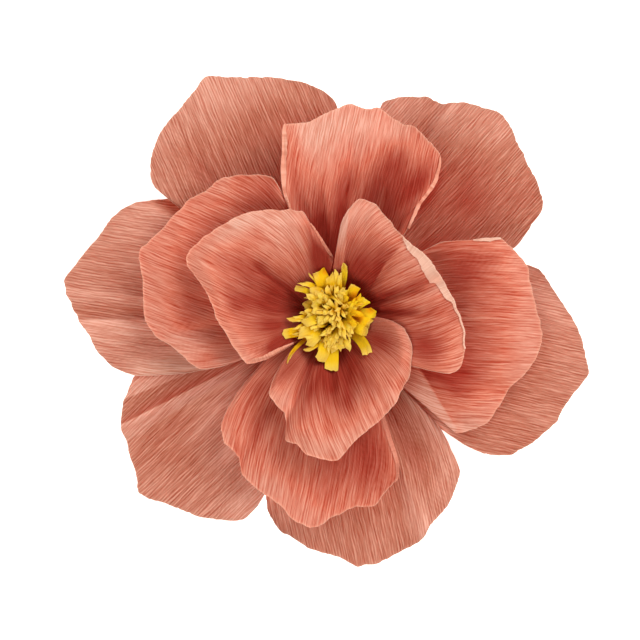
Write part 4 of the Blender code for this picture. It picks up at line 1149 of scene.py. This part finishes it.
class Nodes:
    """A material's nodes, made and joined in one call each."""

    def __init__(self, name):
        self.material = bpy.data.materials.new(name)
        self.material.use_nodes = True
        self.tree = self.material.node_tree
        self.shader = self.tree.nodes["Principled BSDF"]

    def add(self, kind, inputs=(), **settings):
        node = self.tree.nodes.new(kind)
        for key, value in settings.items():
            setattr(node, key, value)
        for socket, value in dict(inputs).items():
            self.join(value, node.inputs[socket])
        return node

    def join(self, value, socket):
        if isinstance(value, bpy.types.NodeSocket):
            self.tree.links.new(value, socket)
        else:
            socket.default_value = value

    def shade(self, **values):
        """Sets or joins the shader's inputs, whose names have _ for a space."""
        for name, value in values.items():
            self.join(value, self.shader.inputs[name.replace("_", " ")])

    def field(self, name, vector=False):
        node = self.add("ShaderNodeAttribute", attribute_name=name)
        return node.outputs["Vector" if vector else "Fac"]

    def maths(self, operation, first, second):
        return self.add("ShaderNodeMath", {0: first, 1: second}, operation=operation).outputs[0]

    def total(self, *weighted):
        """The sum of values, each times its weight."""
        first, *others = (self.maths("MULTIPLY", value, weight) for value, weight in weighted)
        for other in others:
            first = self.maths("ADD", first, other)
        return first

    def ranged(self, value, low, high, to_low=0.0, to_high=1.0):
        inputs = {"Value": value, "From Min": low, "From Max": high, "To Min": to_low, "To Max": to_high}
        return self.add("ShaderNodeMapRange", inputs).outputs["Result"]

    def noise(self, place, scale, detail, **settings):
        inputs = {"Vector": place, "Scale": scale, "Detail": detail, **settings}
        return self.add("ShaderNodeTexNoise", inputs).outputs["Fac"]

    def streaks(self, scale, detail, roughness=STREAK_ROUGHNESS, grain=None):
        """Noise drawn out along the grain: scale is how often it repeats in a metre across and along."""
        place = self.add("ShaderNodeMapping", {"Vector": grain or self.field("grain", True), "Scale": scale})
        return self.noise(place.outputs[0], 1.0, detail, Roughness=roughness)

    def blended(self, share, first, second):
        inputs = {"Factor": share, 6: first, 7: second}
        return self.add("ShaderNodeMix", inputs, data_type="RGBA").outputs[2]

    def bump(self, height, distance, strength=1.0):
        inputs = {"Height": height, "Strength": strength, "Distance": distance}
        return self.add("ShaderNodeBump", inputs).outputs[0]

    def paper(self, colour, raised, through_colour, through_share):
        """The material: rough paper that lets a share of coloured light through."""
        self.shade(Base_Color=colour, Normal=raised)
        self.shade(Roughness=PAPER_ROUGHNESS, Specular_IOR_Level=PAPER_SPECULAR)
        through = self.add("ShaderNodeBsdfTranslucent", {"Color": through_colour, "Normal": raised})
        inputs = {0: through_share, 1: self.shader.outputs[0], 2: through.outputs[0]}
        mixed = self.add("ShaderNodeMixShader", inputs)
        self.join(mixed.outputs[0], self.tree.nodes["Material Output"].inputs["Surface"])
        return self.material


def crepe(paper):
    """Crepe paper: fine ridges run with the grain, light on their crests and deep in their grooves, partly
    the grain's own streaks and partly painted highlight and shade that follow the ridges and bumps.

    The ridges sway from side to side, and the paper lets some reddened light through.
    """
    nodes = Nodes(paper.name)
    light, middle, deep = (linear(colour) for colour in (paper.light, paper.middle, paper.deep))
    wander = nodes.ranged(nodes.streaks(WANDER_STREAKS, 1), *WANDER_RANGE, -paper.sway, paper.sway)
    aside = nodes.add("ShaderNodeCombineXYZ", {"X": wander}).outputs[0]
    inputs = {0: nodes.field("grain", True), 1: aside}
    bent = nodes.add("ShaderNodeVectorMath", inputs, operation="ADD").outputs[0]
    coarse = nodes.streaks(COARSE_STREAKS, 1, grain=bent)
    fine = nodes.streaks(FINE_STREAKS, 2, FINE_ROUGHNESS, grain=bent)
    inputs = {0: bent, 1: (1.0, CRINKLE_STRETCH, 1.0)}
    long = nodes.add("ShaderNodeVectorMath", inputs, operation="MULTIPLY").outputs[0]
    inputs = {"Vector": long, "Scale": BLENDERS_WAVE / CRINKLE_PITCH, "Distortion": CRINKLE_WANDER,
              "Detail": 2.0, "Detail Scale": 1.0}
    crinkle = nodes.add("ShaderNodeTexWave", inputs, bands_direction="X").outputs["Fac"]
    # The crests' colour is partly the grain's own streaks and partly painted highlight on the raised bumps
    # and ridges, with painted shade in the grooves
    crest = nodes.total(
        (nodes.ranged(coarse, *COARSE_RANGE), COARSE_SHARE - paper.crinkled),
        (nodes.ranged(fine, *FINE_RANGE), FINE_SHARE),
        (crinkle, paper.crinkled),
        (nodes.ranged(nodes.field("ridge"), -1.0, 1.0), RIDGE_SHARE),
    )
    dark = nodes.blended(nodes.ranged(crest, *TO_MIDDLE), deep, middle)
    colour = nodes.blended(nodes.ranged(crest, *TO_LIGHT), dark, light)
    tint, edge = nodes.field("tint"), nodes.field("edge")
    streak = nodes.ranged(crest, *TO_CREST)
    # Painted shade where the tint is above zero and painted light where it is below
    painted_shade_colour, painted_light_colour = (nodes.blended(streak, *map(linear, pair)) for pair in (paper.flush, PAINTED_LIGHT_COLOURS))
    colour = nodes.blended(nodes.ranged(tint, 0.0, 1.0, 0.0, PAINTED_SHADE_SHARE), colour, painted_shade_colour)
    colour = nodes.blended(nodes.ranged(tint, -1.0, 0.0, PAINTED_LIGHT_SHARE, 0.0), colour, painted_light_colour)
    # A painted highlight along the cut edge
    colour = nodes.blended(nodes.ranged(edge, 0.0, 1.0, EDGE_HIGHLIGHT_SHARE, 0.0), colour, light)
    height = nodes.total((coarse, BUMP_SHARE), (fine, BUMP_SHARE), (crinkle, BUMP_SHARE * paper.crinkled))
    share = nodes.ranged(edge, 0.0, 1.0, THROUGH_EDGE * paper.through, paper.through)
    return nodes.paper(colour, nodes.bump(height, paper.bump), THROUGH_COLOUR, share)


def fringe_crepe():
    """Yellow crepe with painted shade in orange deep in the tuft, paler at the tips, and a tone for each
    strip.
    """
    nodes = Nodes("fringe crepe")
    fine, out = nodes.streaks(FRINGE_STREAKS, 3), nodes.field("out")
    streak = nodes.ranged(fine, *FRINGE_RANGE)
    tone = nodes.total((nodes.field("tone"), FRINGE_TONE), (streak, 1 - FRINGE_TONE))
    colour = nodes.blended(tone, *map(linear, FRINGE_COLOURS))
    colour = nodes.blended(nodes.ranged(out, *PAINTED_SHADE_RAMP), colour, linear(FRINGE_PAINTED_SHADE))
    colour = nodes.blended(nodes.ranged(out, *PALE_RAMP), colour, linear(FRINGE_PALE))
    return nodes.paper(colour, nodes.bump(fine, FRINGE_BUMP), FRINGE_THROUGH_COLOUR, FRINGE_THROUGH)


def card():
    """White card with a fine and a soft unevenness."""
    nodes = Nodes("white card")
    place = nodes.add("ShaderNodeTexCoord").outputs["Object"]
    fine, soft = nodes.noise(place, *CARD_FINE), nodes.noise(place, *CARD_SOFT)
    mixed = nodes.total(*zip((fine, soft), CARD_PARTS))
    colour = nodes.blended(nodes.ranged(mixed, *CARD_RANGE), *map(linear, CARD_COLOURS))
    raised = nodes.bump(fine, CARD_BUMP, CARD_BUMP_STRENGTH)
    nodes.shade(Base_Color=colour, Normal=raised, Roughness=PAPER_ROUGHNESS)
    return nodes.material


# Stage

FLOOR_HALF = 3.0
FLOOR_DROP = 0.0002
FLOOR_GLOW = 0.8
FLOOR_COLOUR, FLOOR_ROUGHNESS = (0.9, 0.9, 0.9, 1), 0.9
WORLD_LIGHT = 0.34
WARM, LESS_WARM = (1, 0.93, 0.86), (1, 0.97, 0.93)
# Lights, as (name, place, size, power, colour)
LIGHTS = (
    ("key", (0.88, 0.90, 1.24), 1.7, 26.5, LESS_WARM),
    ("fill", (-0.5, -0.9, 1.4), 1.4, 16, WARM),
)


def build_camera():
    camera = bpy.data.cameras.new("camera")
    camera.sensor_width = SENSOR_WIDTH
    camera.lens = SENSOR_WIDTH * CAMERA_HEIGHT / (FRAME_PIXELS * PIXEL)
    camera.clip_end = 20
    made = bpy.data.objects.new("camera", camera)
    made.location = (*camera_centre(), CAMERA_HEIGHT)
    bpy.context.scene.collection.objects.link(made)
    bpy.context.scene.camera = made


def area_light(name, place, size, power, colour):
    """A round light that looks at the origin."""
    light = bpy.data.lights.new(name, "AREA")
    light.shape = "DISK"
    light.size = size
    light.energy = power
    light.color = colour
    made = bpy.data.objects.new(name, light)
    made.location = place
    made.rotation_euler = (-Vector(place)).to_track_quat("-Z", "Y").to_euler()
    bpy.context.scene.collection.objects.link(made)


def build_stage():
    mesh = bpy.data.meshes.new("floor")
    corners = [(x * FLOOR_HALF, y * FLOOR_HALF, 0) for x, y in ((-1, -1), (1, -1), (1, 1), (-1, 1))]
    mesh.from_pydata(corners, [], [(0, 1, 2, 3)])
    floor = bpy.data.objects.new("floor", mesh)
    floor.location.z = -FLOOR_DROP
    nodes = Nodes("floor")
    nodes.shade(Base_Color=FLOOR_COLOUR, Roughness=FLOOR_ROUGHNESS)
    nodes.shade(Emission_Color=(1, 1, 1, 1), Emission_Strength=FLOOR_GLOW)
    mesh.materials.append(nodes.material)
    bpy.context.scene.collection.objects.link(floor)

    world = bpy.data.worlds.new("studio")
    world.use_nodes = True
    background = world.node_tree.nodes["Background"].inputs
    background["Color"].default_value = (*WARM, 1)
    background["Strength"].default_value = WORLD_LIGHT
    bpy.context.scene.world = world
    for light in LIGHTS:
        area_light(*light)
    bpy.context.scene.view_settings.view_transform = "Standard"


def main():
    build_camera()
    build_stage()
    papers = {name: crepe(paper) for name, paper in PAPERS.items()}
    ground = new_ground()
    for petal in PETALS:
        build_petal(petal, ground, [papers[petal.layer.name], papers["back"]])
    build_fringe(ground, fringe_crepe())
    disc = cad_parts["back_disc"]
    disc.data.materials.clear()
    disc.data.materials.append(card())


main()
